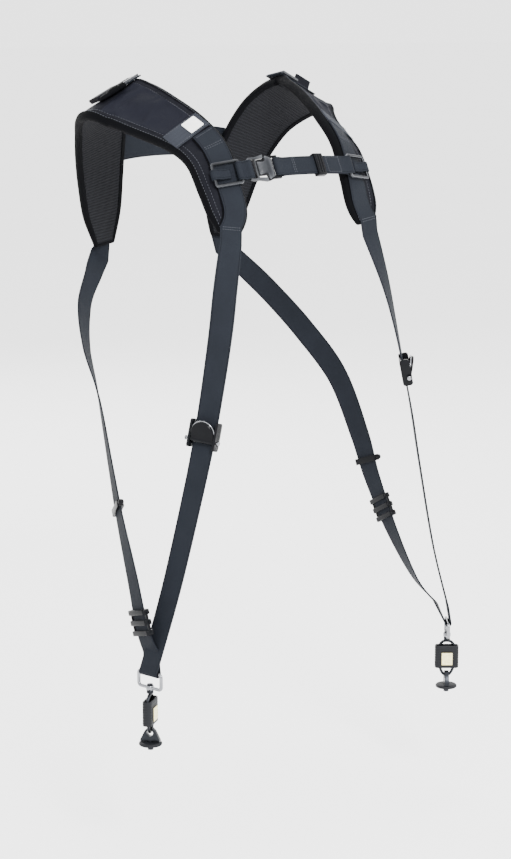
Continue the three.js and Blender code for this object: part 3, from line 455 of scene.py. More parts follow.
def axes_matrix(across, inward, up, origin):
    matrix = Matrix((across, inward, up)).transposed().to_4x4()
    matrix.translation = origin
    return matrix


def seat_at_drop(rows, drop, sign):
    """The seat of a fitting on a leg: x across, y towards the body, z up along the strap."""
    at = Station(rows, station_at_drop(rows, drop), sign)
    up = -at.along if at.along.z < 0 else at.along.copy()
    inward = -at.normal
    return axes_matrix(inward.cross(up), inward, up, at.point)


# Mesh making

scene = bpy.context.scene


def add_object(name, data):
    obj = bpy.data.objects.new(name, data)
    scene.collection.objects.link(obj)
    return obj


def make_object(name, points, faces, coords=None, sharp=40):
    """A mesh object from points in millimetres. coords are across, along and from the edge."""
    mesh = bpy.data.meshes.new(name)
    mesh.from_pydata([p * MM for p in points], [], faces)
    if coords:
        layer = mesh.attributes.new("cloth", "FLOAT_VECTOR", "POINT")
        layer.data.foreach_set("vector", [c for triple in coords for c in triple])
    work = bmesh.new()
    work.from_mesh(mesh)
    bmesh.ops.recalc_face_normals(work, faces=work.faces)
    if work.calc_volume(signed=True) < 0:
        bmesh.ops.reverse_faces(work, faces=work.faces)
    work.to_mesh(mesh)
    work.free()
    smooth(mesh, sharp)
    return add_object(name, mesh)


def smooth(mesh, sharp):
    mesh.polygons.foreach_set("use_smooth", [True] * len(mesh.polygons))
    mesh.set_sharp_from_angle(angle=math.radians(sharp))
    mesh.update()


def skin_faces(ring_count, size, looped=False, first=0):
    faces = []
    for i in range(ring_count if looped else ring_count - 1):
        here = first + i * size
        after = first + (i + 1) % ring_count * size
        for k in range(size):
            other = (k + 1) % size
            faces.append((here + k, here + other, after + other, after + k))
    if not looped:
        last = first + (ring_count - 1) * size
        faces.append(tuple(range(first + size - 1, first - 1, -1)))
        faces.append(tuple(range(last, last + size)))
    return faces


def swept(name, rings, looped=False, coords=None, sharp=40):
    points = [p for ring in rings for p in ring]
    return make_object(name, points, skin_faces(len(rings), len(rings[0]), looped), coords, sharp)


def woven_section(width, thickness, columns=9):
    """Points round a flat strap with round selvedges: across, normal."""
    radius = thickness / 2
    flat = width / 2 - radius
    top = [(-flat + 2 * flat * k / (columns - 1), radius) for k in range(columns)]
    bend = (math.pi / 3, 0, -math.pi / 3)
    right = [(flat + radius * math.cos(a), radius * math.sin(a)) for a in bend]
    bottom = [(w, -radius) for w, _ in reversed(top)]
    left = [(-w, -n) for w, n in right]
    return top + right + bottom + left


def strap(name, places, width, thickness, looped=False):
    section = woven_section(width, thickness)
    rings, coords = [], []
    run = 0
    before = places[0].centre
    for place in places:
        run += (place.centre - before).length
        before = place.centre
        rings.append([place.centre + place.across * w + place.normal * n for w, n in section])
        coords += [(w, run, width / 2 - abs(w)) for w, n in section]
    return swept(name, rings, looped, coords, sharp=60)


def web(name, node, places, width=WEBBING_WIDTH, thickness=WEBBING_THICKNESS, looped=False):
    """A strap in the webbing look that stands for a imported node."""
    return dress(strap(name, places, width, thickness, looped), "webbing", nodes=[node])


def full_turn(sides):
    return [2 * math.pi * k / sides for k in range(sides)]


def tube(name, centres, radius, sides, looped=False):
    """A round wire along a line of centres."""
    rings = []
    count = len(centres)
    for i, centre in enumerate(centres):
        before = centres[(i - 1) % count] if looped or i else centre
        after = centres[(i + 1) % count] if looped or i < count - 1 else centre
        tangent = (after - before).normalized()
        out = tangent.cross(Vector((0, 1, 0))).normalized()
        up = out.cross(tangent).normalized()
        rings.append([
            centre + out * radius * math.cos(a) + up * radius * math.sin(a)
            for a in full_turn(sides)
        ])
    return swept(name, rings, looped, sharp=60)


def turned_rings(profile, sides):
    """Rings about the Z axis from radius and height pairs."""
    return [
        [Vector((r * math.cos(a), r * math.sin(a), h)) for a in full_turn(sides)]
        for r, h in profile
    ]


def turned(name, profile, sides, looped=False):
    return swept(name, turned_rings(profile, sides), looped)


def place_in(obj, matrix):
    """Moves the mesh itself into a frame given in millimetres."""
    scaled = matrix.copy()
    scaled.translation = matrix.translation * MM
    obj.data.transform(scaled)
    if matrix.to_3x3().determinant() < 0:
        obj.data.flip_normals()
    return obj


def rounded(width, height, radius, steps=6):
    """A rectangle with round corners, as a closed outline."""
    points = []
    for cx, cy, start in ((1, 1, 0), (-1, 1, 90), (-1, -1, 180), (1, -1, 270)):
        for k in range(steps + 1):
            a = math.radians(start + 90 * k / steps)
            points.append((
                cx * (width / 2 - radius) + radius * math.cos(a),
                cy * (height / 2 - radius) + radius * math.sin(a),
            ))
    return points


def level(outline, z):
    return [Vector((x, y, z)) for x, y in outline]


def bevelled(obj, width, segments):
    """Rounds the sharp edges of a mesh."""
    work = bmesh.new()
    work.from_mesh(obj.data)
    limit = math.radians(30)
    edges = [e for e in work.edges if len(e.link_faces) == 2 and e.calc_face_angle(0) > limit]
    bmesh.ops.bevel(
        work, geom=edges, offset=width * MM, segments=segments, profile=0.5,
        affect="EDGES", clamp_overlap=True,
    )
    work.to_mesh(obj.data)
    work.free()
    smooth(obj.data, 50)
    return obj


def refined(node, width, segments):
    """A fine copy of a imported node, with its faces joined and its edges rounded."""
    mesh = frame["nodes"][node].data.copy()
    mesh.materials.clear()
    obj = add_object(f"{node}_fine", mesh)
    work = bmesh.new()
    work.from_mesh(mesh)
    bmesh.ops.remove_doubles(work, verts=work.verts, dist=2e-6)
    limit = math.radians(1.5)
    bmesh.ops.dissolve_limit(work, angle_limit=limit, verts=work.verts, edges=work.edges)
    work.to_mesh(mesh)
    work.free()
    return bevelled(obj, width, segments)


def dress(obj, look, body=None, nodes=()):
    """Gives a piece its look by name, hangs it on its body, and hides the imported nodes that it
    stands for.
    """
    obj.data.materials.clear()
    obj.data.materials.append(LOOKS[look])
    if nodes:
        body = body or frame["nodes"][nodes[0]]["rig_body"]
        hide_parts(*nodes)
    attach(obj, body or "harness")
    return obj


def dress_node(node, look, width, segments):
    """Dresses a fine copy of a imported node, which stands for it."""
    return dress(refined(node, width, segments), look, nodes=[node])


def sew(name, line, stitch):
    """One mesh of thread dashes along a line of (point, normal) pairs."""
    spacing, length, radius = stitch
    points, faces = [], []
    travelled, due = 0.0, spacing / 2
    for (a, na), (b, nb) in zip(line, line[1:]):
        gap = (b - a).length
        if gap < 1e-6:
            continue
        tangent = (b - a) / gap
        while travelled + gap >= due:
            t = (due - travelled) / gap
            centre = a.lerp(b, t)
            normal = na.lerp(nb, t).normalized()
            side = tangent.cross(normal).normalized()
            first = len(points)
            for share, size in ((-0.5, 0.35), (-0.3, 0.95), (0, 1.1), (0.3, 0.95), (0.5, 0.35)):
                dip = -abs(share) * radius * 1.4
                middle = centre + tangent * length * share + normal * (radius * 0.45 + dip)
                for angle in full_turn(THREAD_SIDES):
                    points.append(
                        middle + side * radius * size * math.cos(angle)
                        + normal * radius * size * math.sin(angle)
                    )
            faces += skin_faces(5, THREAD_SIDES, first=first)
            due += spacing
        travelled += gap
    dress(make_object(name, points, faces, sharp=80), "thread")


# Materials

class Look:
    """A node material under construction."""

    def __init__(self, name, roughness, metallic=0.0, sheen=0.0, specular=0.5):
        self.material = bpy.data.materials.new(name)
        self.material.use_nodes = True
        tree = self.material.node_tree
        self.nodes, self.links = tree.nodes, tree.links
        self.shader = self.nodes["Principled BSDF"]
        self.shader.inputs["Roughness"].default_value = roughness
        self.shader.inputs["Metallic"].default_value = metallic
        self.shader.inputs["Sheen Weight"].default_value = sheen
        self.shader.inputs["Sheen Roughness"].default_value = 0.4
        self.shader.inputs["Specular IOR Level"].default_value = specular
        self.place = self.node("TexCoord").outputs["Object"]

    def node(self, kind, inputs=None, **settings):
        """A new node, its inputs each set to a number or a colour, or linked to a socket."""
        node = self.nodes.new(f"ShaderNode{kind}")
        for name, value in settings.items():
            setattr(node, name, value)
        for name, value in (inputs or {}).items():
            if isinstance(value, (int, float)):
                node.inputs[name].default_value = value
            elif isinstance(value, tuple):
                node.inputs[name].default_value = (*value, 1)
            else:
                self.links.new(value, node.inputs[name])
        return node

    def math(self, operation, a, b=None):
        inputs = {0: a} if b is None else {0: a, 1: b}
        return self.node("Math", inputs, operation=operation).outputs[0]

    def noise(self, scale, detail=3.0, roughness=0.55):
        inputs = {"Scale": scale, "Detail": detail, "Roughness": roughness, "Vector": self.place}
        return self.node("TexNoise", inputs).outputs["Fac"]

    def cloth(self):
        """The across, along and edge distances of a woven piece, in millimetres."""
        read = self.node("Attribute", attribute_name="cloth")
        return self.node("SeparateXYZ", {0: read.outputs["Vector"]}).outputs

    def wave(self, distance, pitch):
        return self.math("SINE", self.math("MULTIPLY", distance, 2 * math.pi / pitch))

    def ramp(self, fac, stops):
        node = self.node("ValToRGB", {"Fac": fac})
        ramp = node.color_ramp
        while len(ramp.elements) < len(stops):
            ramp.elements.new(0.5)
        for element, (place, colour) in zip(ramp.elements, stops):
            element.position = place
            element.color = (*colour, 1)
        return node.outputs["Color"]

    def mix(self, fac, a, b, blend="MIX"):
        """The colour sockets of a Mix node are its inputs 6 and 7 and its output 2."""
        inputs = {0: fac, 6: a, 7: b}
        return self.node("Mix", inputs, data_type="RGBA", blend_type=blend).outputs[2]

    def colour(self, socket):
        self.links.new(socket, self.shader.inputs["Base Color"])

    def tone(self, fac, *stops):
        """Colours the surface by a ramp, each stop a position and a colour."""
        self.colour(self.ramp(fac, stops))

    def rough(self, fac, low, high):
        node = self.node("MapRange", {"To Min": low, "To Max": high, "Value": fac})
        self.links.new(node.outputs["Result"], self.shader.inputs["Roughness"])

    def bump(self, *layers):
        """Each layer is a height socket with its depth in millimetres."""
        normal = None
        for height, depth in layers:
            inputs = {"Strength": 1.0, "Distance": depth * MM, "Height": height}
            if normal:
                inputs["Normal"] = normal
            normal = self.node("Bump", inputs).outputs["Normal"]
        self.links.new(normal, self.shader.inputs["Normal"])

    def worn_and_highlit_edges(self, colour, edge_wear_and_highlight, amount=0.6):
        """Lightens the edges by pointiness: wear where handling polishes plastic and rubber, and on
        the frame look a painted highlight along the edges.
        """
        pointiness = self.node("NewGeometry").outputs["Pointiness"]
        edge = self.ramp(pointiness, ((0.5, (0, 0, 0)), (0.56, (amount,) * 3)))
        patchy = self.mix(self.noise(220, 4), (0.3,) * 3, (1, 1, 1))
        return self.mix(self.mix(1.0, edge, patchy, "MULTIPLY"), colour, edge_wear_and_highlight)


def shade(colour, factor):
    return tuple(c * factor for c in colour)


def woven_look(name, base, pitch, depth, roughness=0.62, selvedge=0.0, patchy=0.16):
    look = Look(name, roughness, specular=0.03)
    w, s, edge = look.cloth()
    threads = look.math("MULTIPLY", look.wave(w, pitch[0]), look.wave(s, pitch[1]))
    height = look.math("ADD", look.math("MULTIPLY", threads, 0.5), 0.5)
    fuzz = look.noise(900, 4)
    blotch = look.noise(26, 4, 0.6)
    plain = look.ramp(blotch, ((0.3, shade(base, 1 - patchy)), (0.7, shade(base, 1 + patchy))))
    # painted highlight: the raised threads are coloured up to 1.7 times lighter than the dips
    # between them
    lit = look.mix(look.math("MULTIPLY", height, 0.6), plain, shade(base, 1.7))
    cloth = look.mix(look.math("MULTIPLY", fuzz, 0.25), lit, shade(base, 0.4))
    layers = [(height, depth), (fuzz, depth * 0.4), (look.noise(70, 2), 0.25)]
    if selvedge:
        away = look.math("ABSOLUTE", look.math("SUBTRACT", edge, selvedge))
        line = look.math("SUBTRACT", 1.0, look.math("MINIMUM", look.math("DIVIDE", away, 0.4), 1.0))
        cloth = look.mix(look.math("MULTIPLY", line, 0.6), cloth, shade(base, 0.3))
        layers.append((look.math("SUBTRACT", 1.0, line), 0.3))
    look.colour(cloth)
    matt = look.math("ADD", look.math("MULTIPLY", fuzz, 0.5), look.math("MULTIPLY", height, 0.5))
    look.rough(matt, roughness + 0.14, roughness - 0.1)
    look.bump(*layers)
    return look.material


def lining_look():
    """The spacer mesh under the pads, with its rows of small cells."""
    look = Look("spacer_mesh", 0.7, specular=0.08)
    w, s, _ = look.cloth()
    row = look.wave(look.math("ADD", w, look.math("MULTIPLY", s, 0.5)), 3.4)
    other = look.wave(look.math("SUBTRACT", w, look.math("MULTIPLY", s, 0.5)), 3.4)
    cells = look.math("MULTIPLY", row, other)
    # painted shade: the hollows of the cells, which the bump sinks, are coloured darker than their
    # rims
    look.tone(cells, (0.1, (0.0080, 0.0084, 0.0104)), (0.55, (0.0016, 0.0017, 0.0022)))
    look.bump((look.math("SUBTRACT", 1.0, cells), 0.5), (look.noise(800, 3), 0.05))
    return look.material


def plastic_look(name, base, roughness, edge_wear_and_highlight, grain=0.03, edge=0.6):
    look = Look(name, roughness, specular=0.07)
    tone = look.ramp(look.noise(34, 3), ((0.3, shade(base, 0.8)), (0.7, shade(base, 1.25))))
    # The edge colour is wear on most plastics, and a painted highlight on the frame look.
    look.colour(look.worn_and_highlit_edges(tone, edge_wear_and_highlight, edge))
    look.rough(look.noise(160, 4), roughness - 0.08, roughness + 0.14)
    look.bump((look.noise(1500, 3), grain), (look.noise(120, 2), grain * 1.5))
    return look.material


def metal_look(name, base, roughness, grain=0.01):
    look = Look(name, roughness, metallic=1.0)
    look.tone(look.noise(90, 4), (0.25, shade(base, 0.72)), (0.7, base))
    look.rough(look.noise(420, 5, 0.7), roughness - 0.06, roughness + 0.16)
    look.bump((look.noise(700, 4), grain))
    return look.material


def rubber_look(name, base):
    look = Look(name, 0.5, specular=0.16)
    dust = look.noise(60, 5, 0.65)
    tone = look.ramp(dust, ((0.35, base), (0.75, shade(base, 2.1))))
    look.colour(look.worn_and_highlit_edges(tone, shade(base, 3.0), 0.4))
    look.rough(dust, 0.46, 0.68)
    look.bump((look.noise(1100, 3), 0.05))
    return look.material


def patch_look():
    look = Look("patch_white", 0.5)
    look.tone(look.noise(80, 4), (0.3, (0.72, 0.72, 0.7)), (0.7, (0.86, 0.86, 0.85)))
    look.bump((look.noise(1400, 2), 0.04))
    return look.material


def label_look():
    look = Look("label_woven", 0.6, sheen=0.1)
    threads = look.noise(500, 3)
    look.tone(threads, (0.35, (0.66, 0.58, 0.26)), (0.65, (0.86, 0.79, 0.46)))
    look.bump((threads, 0.05))
    return look.material


def thread_look():
    look = Look("thread", 0.6, specular=0.2)
    look.tone(look.noise(600, 2), (0.3, (0.022, 0.024, 0.03)), (0.7, (0.05, 0.054, 0.064)))
    look.bump((look.noise(2500, 2), 0.05))
    return look.material


NYLON = (0.0086, 0.0100, 0.0132)
LOOKS = {
    "pad": woven_look("ballistic_nylon", (0.0052, 0.0054, 0.0074), (1.3, 1.3), 0.16, 0.66),
    "pad_smooth": woven_look("fine_twill", (0.0058, 0.0062, 0.0094), (0.6, 0.6), 0.05, 0.6),
    "webbing": woven_look("webbing_nylon", NYLON, (1.7, 1.25), 0.22, 0.55, selvedge=1.7),
    "binding": woven_look("binding_tape", (0.0012, 0.0013, 0.0018), (0.9, 0.7), 0.12, 0.65),
    "band": woven_look(
        "band_grosgrain", (0.0190, 0.0210, 0.0265), (9.0, 0.8), 0.2, 0.6, selvedge=1.0,
    ),
    "lining": lining_look(),
    "plastic": plastic_look("acetal_black", (0.0022, 0.0024, 0.0030), 0.2, (0.006, 0.0066, 0.008)),
    # painted highlight: the light edge colour stands in for glints along the edges of the glossy
    # black sternum frames and pronged buckle half
    "frame": plastic_look(
        "acetal_black_painted_edge_highlight", (0.0040, 0.0044, 0.0052), 0.16, (0.15, 0.156, 0.17), edge=0.8,
    ),
    "buckle": plastic_look("acetal_grey", (0.0150, 0.0160, 0.0185), 0.2, (0.12, 0.125, 0.135)),
    "rubber": rubber_look("rubber_black", (0.0026, 0.0029, 0.0038)),
    "chrome": metal_look("chrome", (0.24, 0.245, 0.26), 0.1),
    "dark_metal": metal_look("black_nickel", (0.020, 0.0215, 0.025), 0.26),
    "patch": patch_look(),
    "label": label_look(),
    "thread": thread_look(),
}


# Pads

EDGE_STOPS = (0, 1.1, 2.4, 3.8, 5.2, 6.2, 7.2, 8.3, 9.5, 10.5, 11.5)
GROOVES = (6.2, 10.5)
GROOVE_DEPTH = 0.9
MIDDLE_COLUMNS = 9
ROWS_PER_STATION = 12
STATION_LENGTH = 31
REAR_SEAM = 11.35


def edge_scale(half):
    return min(1.0, half / 21)


def seam_stations():
    edge = station_span(BAND_STATION, BAND_LENGTH / 2 + 1.6)
    crest = station_span(CREST_STATION, CREST_STRAP_WIDTH / 2 + 2)
    return [
        BAND_STATION - edge, BAND_STATION + edge, CREST_STATION - crest, CREST_STATION + crest,
        REAR_SEAM,
    ]


SEAMS = seam_stations()


def under_strap(u, w, half):
    """Whether something sewn on the pad lies over this place."""
    spans = (
        (BAND_STATION, BAND_LENGTH / 2),
        (CREST_STATION, CREST_STRAP_WIDTH / 2),
        (BACK_STATION, BACK_STRAP_WIDTH / 2),
    )
    if any(abs(u - at) < station_span(at, length + 3) for at, length in spans):
        return True
    sewn_here = u < BAND_STATION or u > PAD_LAST - 1.7
    return sewn_here and w < -half + SEWN_MARGIN + WEBBING_WIDTH + 1.5


def top_height(u, w, half, thick):
    scale = edge_scale(half)
    d = half - abs(w)
    t = min(1.0, d / (4.6 * scale))
    height = thick * (0.6 + 0.4 * t * t * (3 - 2 * t))
    for groove in GROOVES:
        height -= GROOVE_DEPTH * math.exp(-(((d - groove * scale) / (0.75 * scale)) ** 2))
    if d > GROOVES[1] * scale:
        for seam in SEAMS:
            gap = (u - seam) * STATION_LENGTH
            height -= GROOVE_DEPTH * math.exp(-((gap / 1.1) ** 2))
    return height


def pad_columns(half):
    scale = edge_scale(half)
    edge = [stop * scale for stop in EDGE_STOPS]
    inner = half - edge[-1]
    right = [half - d for d in edge]
    middle = [inner - 2 * inner * (k + 1) / (MIDDLE_COLUMNS + 1) for k in range(MIDDLE_COLUMNS)]
    return [-w for w in right] + middle[::-1] + right[::-1]


def pad_rows_list():
    rows = [i / ROWS_PER_STATION for i in range(PAD_LAST * ROWS_PER_STATION + 1)]
    keep = [u for u in rows if all(abs(u - seam) > 0.045 for seam in SEAMS)]
    return sorted(keep + [seam + step for seam in SEAMS for step in (-0.04, 0, 0.04)])


CLOTH_FRAMES = 18
CLOTH_SETTINGS = {
    "quality": 6,
    "mass": 0.2,
    "vertex_group_mass": "held",
    "tension_stiffness": 14,
    "compression_stiffness": 14,
    "shear_stiffness": 6,
    "bending_stiffness": 0.4,
    "shrink_min": -0.05,
    "use_pressure": True,
    "uniform_pressure_force": 5.0,
}


def inflate(obj, held, caps):
    """Blows the cloth up between its stitched lines. No point moves further than its own cap."""
    copy = obj.copy()
    copy.data = obj.data.copy()
    scene.collection.objects.link(copy)
    group = copy.vertex_groups.new(name="held")
    group.add(held, 1.0, "REPLACE")
    modifier = copy.modifiers.new("cloth", "CLOTH")
    for name, value in CLOTH_SETTINGS.items():
        setattr(modifier.settings, name, value)
    modifier.settings.effector_weights.gravity = 0
    modifier.point_cache.frame_start = 1
    modifier.point_cache.frame_end = CLOTH_FRAMES
    for number in range(1, CLOTH_FRAMES + 1):
        scene.frame_set(number)
    result = copy.evaluated_get(bpy.context.evaluated_depsgraph_get()).data
    for vertex, after, cap in zip(obj.data.vertices, result.vertices, caps):
        move = after.co - vertex.co
        if move.length > cap * MM:
            move *= cap * MM / move.length
        vertex.co = vertex.co + move
    bpy.data.objects.remove(copy)
    scene.frame_set(1)


def build_pad(sign, tag):
    rows = pad_rows_list()
    rings, coords, held, caps = [], [], [], []
    run = 0
    before = None
    for row, u in enumerate(rows):
        at = Station(PAD_STATIONS, u, sign)
        run += (at.point - before).length if before else 0
        before = at.point
        half = at.width / 2
        columns = pad_columns(half)
        ring = []
        seam_row = any(abs(u - seam) < 1e-6 for seam in SEAMS)
        for k, w in enumerate(columns):
            height = top_height(u, w, half, at.thick)
            ring.append(at.offset(w, height))
            edge_column = min(k, len(columns) - 1 - k)
            stop = EDGE_STOPS[edge_column] if edge_column < len(EDGE_STOPS) else None
            on_seam = seam_row and (stop is None or stop > GROOVES[1])
            if on_seam or stop in GROOVES or stop == 0 or row in (0, len(rows) - 1):
                held.append(len(coords))
            soft = 0.25 if under_strap(u, w, half) else 1.9
            caps.append(soft if stop is None or stop > GROOVES[0] else min(soft, 0.7))
            coords.append((w, run, half - abs(w)))
        lower = [half - half * 2 * k / 12 for k in range(13)]
        rim = [(half + 0.1, 0.42), (half - 0.1, 0.2)]
        for w, n in rim:
            ring.append(at.offset(w, n * at.thick))
        for w in lower:
            d = half - abs(w)
            lift = 0.1 * at.thick * math.exp(-d / 1.5)
            ring.append(at.offset(w * 0.985, lift))
        for w, n in reversed(rim):
            ring.append(at.offset(-w, n * at.thick))
        for _ in range(len(ring) - len(columns)):
            held.append(len(coords))
            caps.append(0.3)
            coords.append((ring_across(ring, len(coords), at), run, 9))
        rings.append(ring)
    pad = swept(f"shoulder_pad_cloth_{tag}", rings, coords=coords, sharp=70)
    inflate(pad, held, caps)
    pad.modifiers.new("round", "SUBSURF").levels = 1
    pad.modifiers["round"].render_levels = 1
    dress(pad, "pad", nodes=[f"shoulder_pad_{tag}"])
    pad.data.materials.append(LOOKS["pad_smooth"])
    pad.data.materials.append(LOOKS["lining"])
    size = len(rings[0])
    upper = (SEAMS[1], SEAMS[2])
    top = len(pad_columns(20))
    edge = len(EDGE_STOPS)
    for index, polygon in enumerate(pad.data.polygons):
        row, k = divmod(index, size)
        if row < len(rows) - 1 and k >= top:
            polygon.material_index = 2
        if row >= len(rows) - 1 or not edge - 2 <= k < top - edge + 1:
            continue
        middle = (rows[row] + rows[row + 1]) / 2
        if upper[0] < middle < upper[1]:
            polygon.material_index = 1


def ring_across(ring, index, at):
    """The across coordinate of a point on the pad's rim or underside."""
    point = ring[index % len(ring)]
    return (point - at.point).dot(at.across)


def pad_edge_line(sign, distance, lift, first, last, steps):
    """A line on the pad's top, as (point, normal) pairs. The sign of distance picks the edge."""
    line = []
    for i in range(steps + 1):
        u = first + (last - first) * i / steps
        at = Station(PAD_STATIONS, u, sign)
        half = at.width / 2
        w = math.copysign(half - abs(distance) * edge_scale(half), distance)
        line.append((at.offset(w, top_height(u, w, half, at.thick) + lift), at.normal))
    return line


BINDING_WIDTH = 5.0
BINDING_THICKNESS = 0.7
BINDING_INSET = 0.12
BINDING_STEPS = 150
BINDING_ROW = 2.7
BINDING_TURN_ROW = 4

# Round a pad's end: share of its half width, and the tape's direction across and along
BINDING_TURNS = (
    (0.96, (1, 0.9)), (0.8, (0.25, 1)), (0, (0, 1)), (-0.8, (-0.25, 1)), (-0.96, (-1, 0.9)),
)


def binding_section(thick, scale):
    """Closed outline of the folded edge tape: outward from the edge, and height."""
    t = BINDING_THICKNESS
    w = BINDING_WIDTH * scale
    return [
        (-w, thick * 0.99 - 0.2), (-w, thick * 0.99 + t * 0.6), (-w * 0.72, thick * 0.985 + t),
        (-w * 0.4, thick * 0.88 + t), (-w * 0.12, thick * 0.7 + t), (t * 0.8, thick * 0.5),
        (t, thick * 0.35), (t * 0.8, thick * 0.15), (-w * 0.1, -t * 0.7), (-w * 0.5, -t),
        (-w, -t * 0.8), (-w, 0.25), (-w * 0.5, 0.3), (-w * 0.25, thick * 0.3),
        (-w * 0.3, thick * 0.6),
    ]


def build_binding(sign, tag):
    """The tape folded round the pad's edge, up one side, over the end and down the other."""
    rings, coords = [], []
    length = PAD_LAST - 2 * BINDING_INSET

    def add(u, w, direction, run):
        at = Station(PAD_STATIONS, u, sign)
        out = (at.across * direction[0] + at.along * direction[1]).normalized()
        half = at.width / 2
        base = at.offset(math.copysign(min(abs(w), half), w), 0)
        section = binding_section(at.thick, edge_scale(half))
        rings.append([base + out * o + at.normal * n for o, n in section])
        coords.extend([(k * 0.9, run, 1) for k in range(len(section))])

    run = 0
    for i in range(BINDING_STEPS + 1):
        u = BINDING_INSET + length * i / BINDING_STEPS
        add(u, Station(PAD_STATIONS, u, sign).width / 2, (1, 0), run)
        run += BINDING_ROW
    for u_end, sense in ((PAD_LAST, 1), (0, -1)):
        half = Station(PAD_STATIONS, u_end, sign).width / 2
        for share, (side, end) in BINDING_TURNS:
            add(u_end, share * half * sense, (side * sense, end * sense), run)
            run += BINDING_TURN_ROW
        if u_end:
            for i in range(BINDING_STEPS + 1):
                u = PAD_LAST - BINDING_INSET - length * i / BINDING_STEPS
                add(u, -Station(PAD_STATIONS, u, sign).width / 2, (-1, 0), run)
                run += BINDING_ROW
    tape = swept(f"pad_binding_{tag}", rings, looped=True, coords=coords, sharp=50)
    dress(tape, "binding")


def build_pad_stitches(sign, tag):
    first, last = 0.25, PAD_LAST - 0.25
    for name, distance, lift in (
        ("outer_edge", 4.1, BINDING_THICKNESS), ("inner_edge", -4.1, BINDING_THICKNESS),
        ("outer_ridge", 10.5, 0.15), ("inner_ridge", -10.5, 0.15),
    ):
        start = first if distance > 0 or abs(distance) < 5 else BAND_STATION
        line = pad_edge_line(sign, distance, lift, start, last, 170)
        sew(f"stitches_{name}_{tag}", line, PAD_STITCH)


def across_places(u, sign, start, end, steps, lift, thickness):
    at = Station(PAD_STATIONS, u, sign)
    places = []
    for i in range(steps + 1):
        w = start + (end - start) * i / steps
        places.append(Place(at.offset(w, lift + thickness / 2), at.along, at.normal))
    return places


def cross_stitches(name, place_at, offsets, width):
    """Rows of stitches across a strap at the given places."""
    for i, offset in enumerate(offsets):
        centre, across, normal = place_at(offset)
        line = [(centre + across * (width * (k / 8 - 0.5)), normal) for k in range(9)]
        sew(f"{name}_{i}", line, STRAP_STITCH)


def build_band(sign, tag):
    at = Station(PAD_STATIONS, BAND_STATION, sign)
    reach = at.width / 2 * 0.84
    lift = at.thick + LAYER_GAP + 0.6
    places = across_places(BAND_STATION, sign, -reach, reach, 24, lift, BAND_THICKNESS)
    for i, place in enumerate(places):
        share = abs(i / 24 * 2 - 1)
        place.centre = place.centre - place.normal * (0.7 * max(0.0, share - 0.75) / 0.25)
    band = strap(f"band_grosgrain_{tag}", places, BAND_LENGTH, BAND_THICKNESS)
    dress(band, "band", nodes=[f"pad_band_{tag}"])
    for name, share in (("upper", 1), ("lower", -1)):
        line = []
        for i in range(25):
            w = -reach + 2 * reach * i / 24
            edge = at.offset(w, lift + BAND_THICKNESS, share * (BAND_LENGTH / 2 - 2))
            line.append((edge, at.normal))
        sew(f"stitches_band_{name}_{tag}", line, BAND_STITCH)
    if sign < 0:
        build_patch(at, lift + BAND_THICKNESS + 0.3, -reach + PATCH_INSET + PATCH_SIDE / 2)


def build_patch(at, lift, middle):
    """The bare square patch, with a moulded rim."""
    half = PATCH_SIDE / 2
    rings = []
    for inset, height in (
        (0, 0), (0, 0.7), (0.25, PATCH_THICKNESS), (1.1, PATCH_THICKNESS),
        (1.35, PATCH_THICKNESS - 0.22),
    ):
        outline = rounded(2 * (half - inset), 2 * (half - inset), max(1.2 - inset * 0.5, 0.5), 4)
        rings.append([at.offset(middle + x, lift + height, y) for x, y in outline])
    patch = swept("patch_face", rings, sharp=35)
    dress(patch, "patch", nodes=["patch_blank"])


def build_crest(sign, tag):
    at = Station(PAD_STATIONS, CREST_STATION, sign)
    reach = at.width / 2
    strap_lift = at.thick + LAYER_GAP + CREST_RISE
    end = reach - CREST_BARE
    places = across_places(CREST_STATION, sign, -reach - 2, end, 20, strap_lift, WEBBING_THICKNESS)
    web(f"crest_webbing_{tag}", f"crest_strap_{tag}", places, CREST_STRAP_WIDTH)
    dress_node(f"crest_slide_{tag}", "buckle", 0.7, 4)
    lift = strap_lift + WEBBING_THICKNESS + 0.3
    slide_end = -reach + 1 + CREST_SLIDE_LENGTH
    if sign < 0:
        build_crest_fold(sign, tag, slide_end - 3, end + 2)
        span = (slide_end + 1, end + 1)
        places = across_places(CREST_STATION, sign, *span, 16, lift, CREST_TAB_THICKNESS)
    else:
        middle = slide_end + TAB_SHIFT + CREST_TAB_WIDTH / 2
        places = []
        for i in range(13):
            share = i / 12
            lean = 0.9 * math.sin(share * math.pi)
            centre = at.offset(middle, lift + share * CREST_TAB_HEIGHT, lean)
            places.append(Place(centre, at.across, at.along))
    tab = strap(f"crest_end_{tag}", places, CREST_TAB_WIDTH, CREST_TAB_THICKNESS)
    dress(tab, "pad", nodes=[f"crest_tab_{tag}"])


def build_crest_fold(sign, tag, first, last):
    """The strap's folded layers, which lie in three steps along its front edge."""
    at = Station(PAD_STATIONS, CREST_STATION, sign)
    rings, coords = [], []
    steps = 42
    for i in range(steps + 1):
        share = i / steps
        step = (share * 3) % 1
        size = FOLD_SIZES[min(int(share * 3), 2)] * (1 - 0.32 * step ** 3)
        size *= min(1.0, 0.25 + share * 14, 0.3 + (1 - share) * 12)
        w = first + (last - first) * share
        lift = at.thick + LAYER_GAP + size * 0.55
        ring = []
        for k in range(20):
            angle = 2 * math.pi * k / 20
            flat = math.copysign(abs(math.sin(angle)) ** 0.7, math.sin(angle))
            across = -CREST_STRAP_WIDTH / 2 - 3.2 + size * 1.25 * math.cos(angle)
            ring.append(at.offset(w, lift + size * 0.8 * flat, across))
            coords.append((w, k * size * 0.4, 6))
        rings.append(ring)
    fold = swept(f"crest_fold_{tag}", rings, coords=coords, sharp=70)
    dress(fold, "binding")


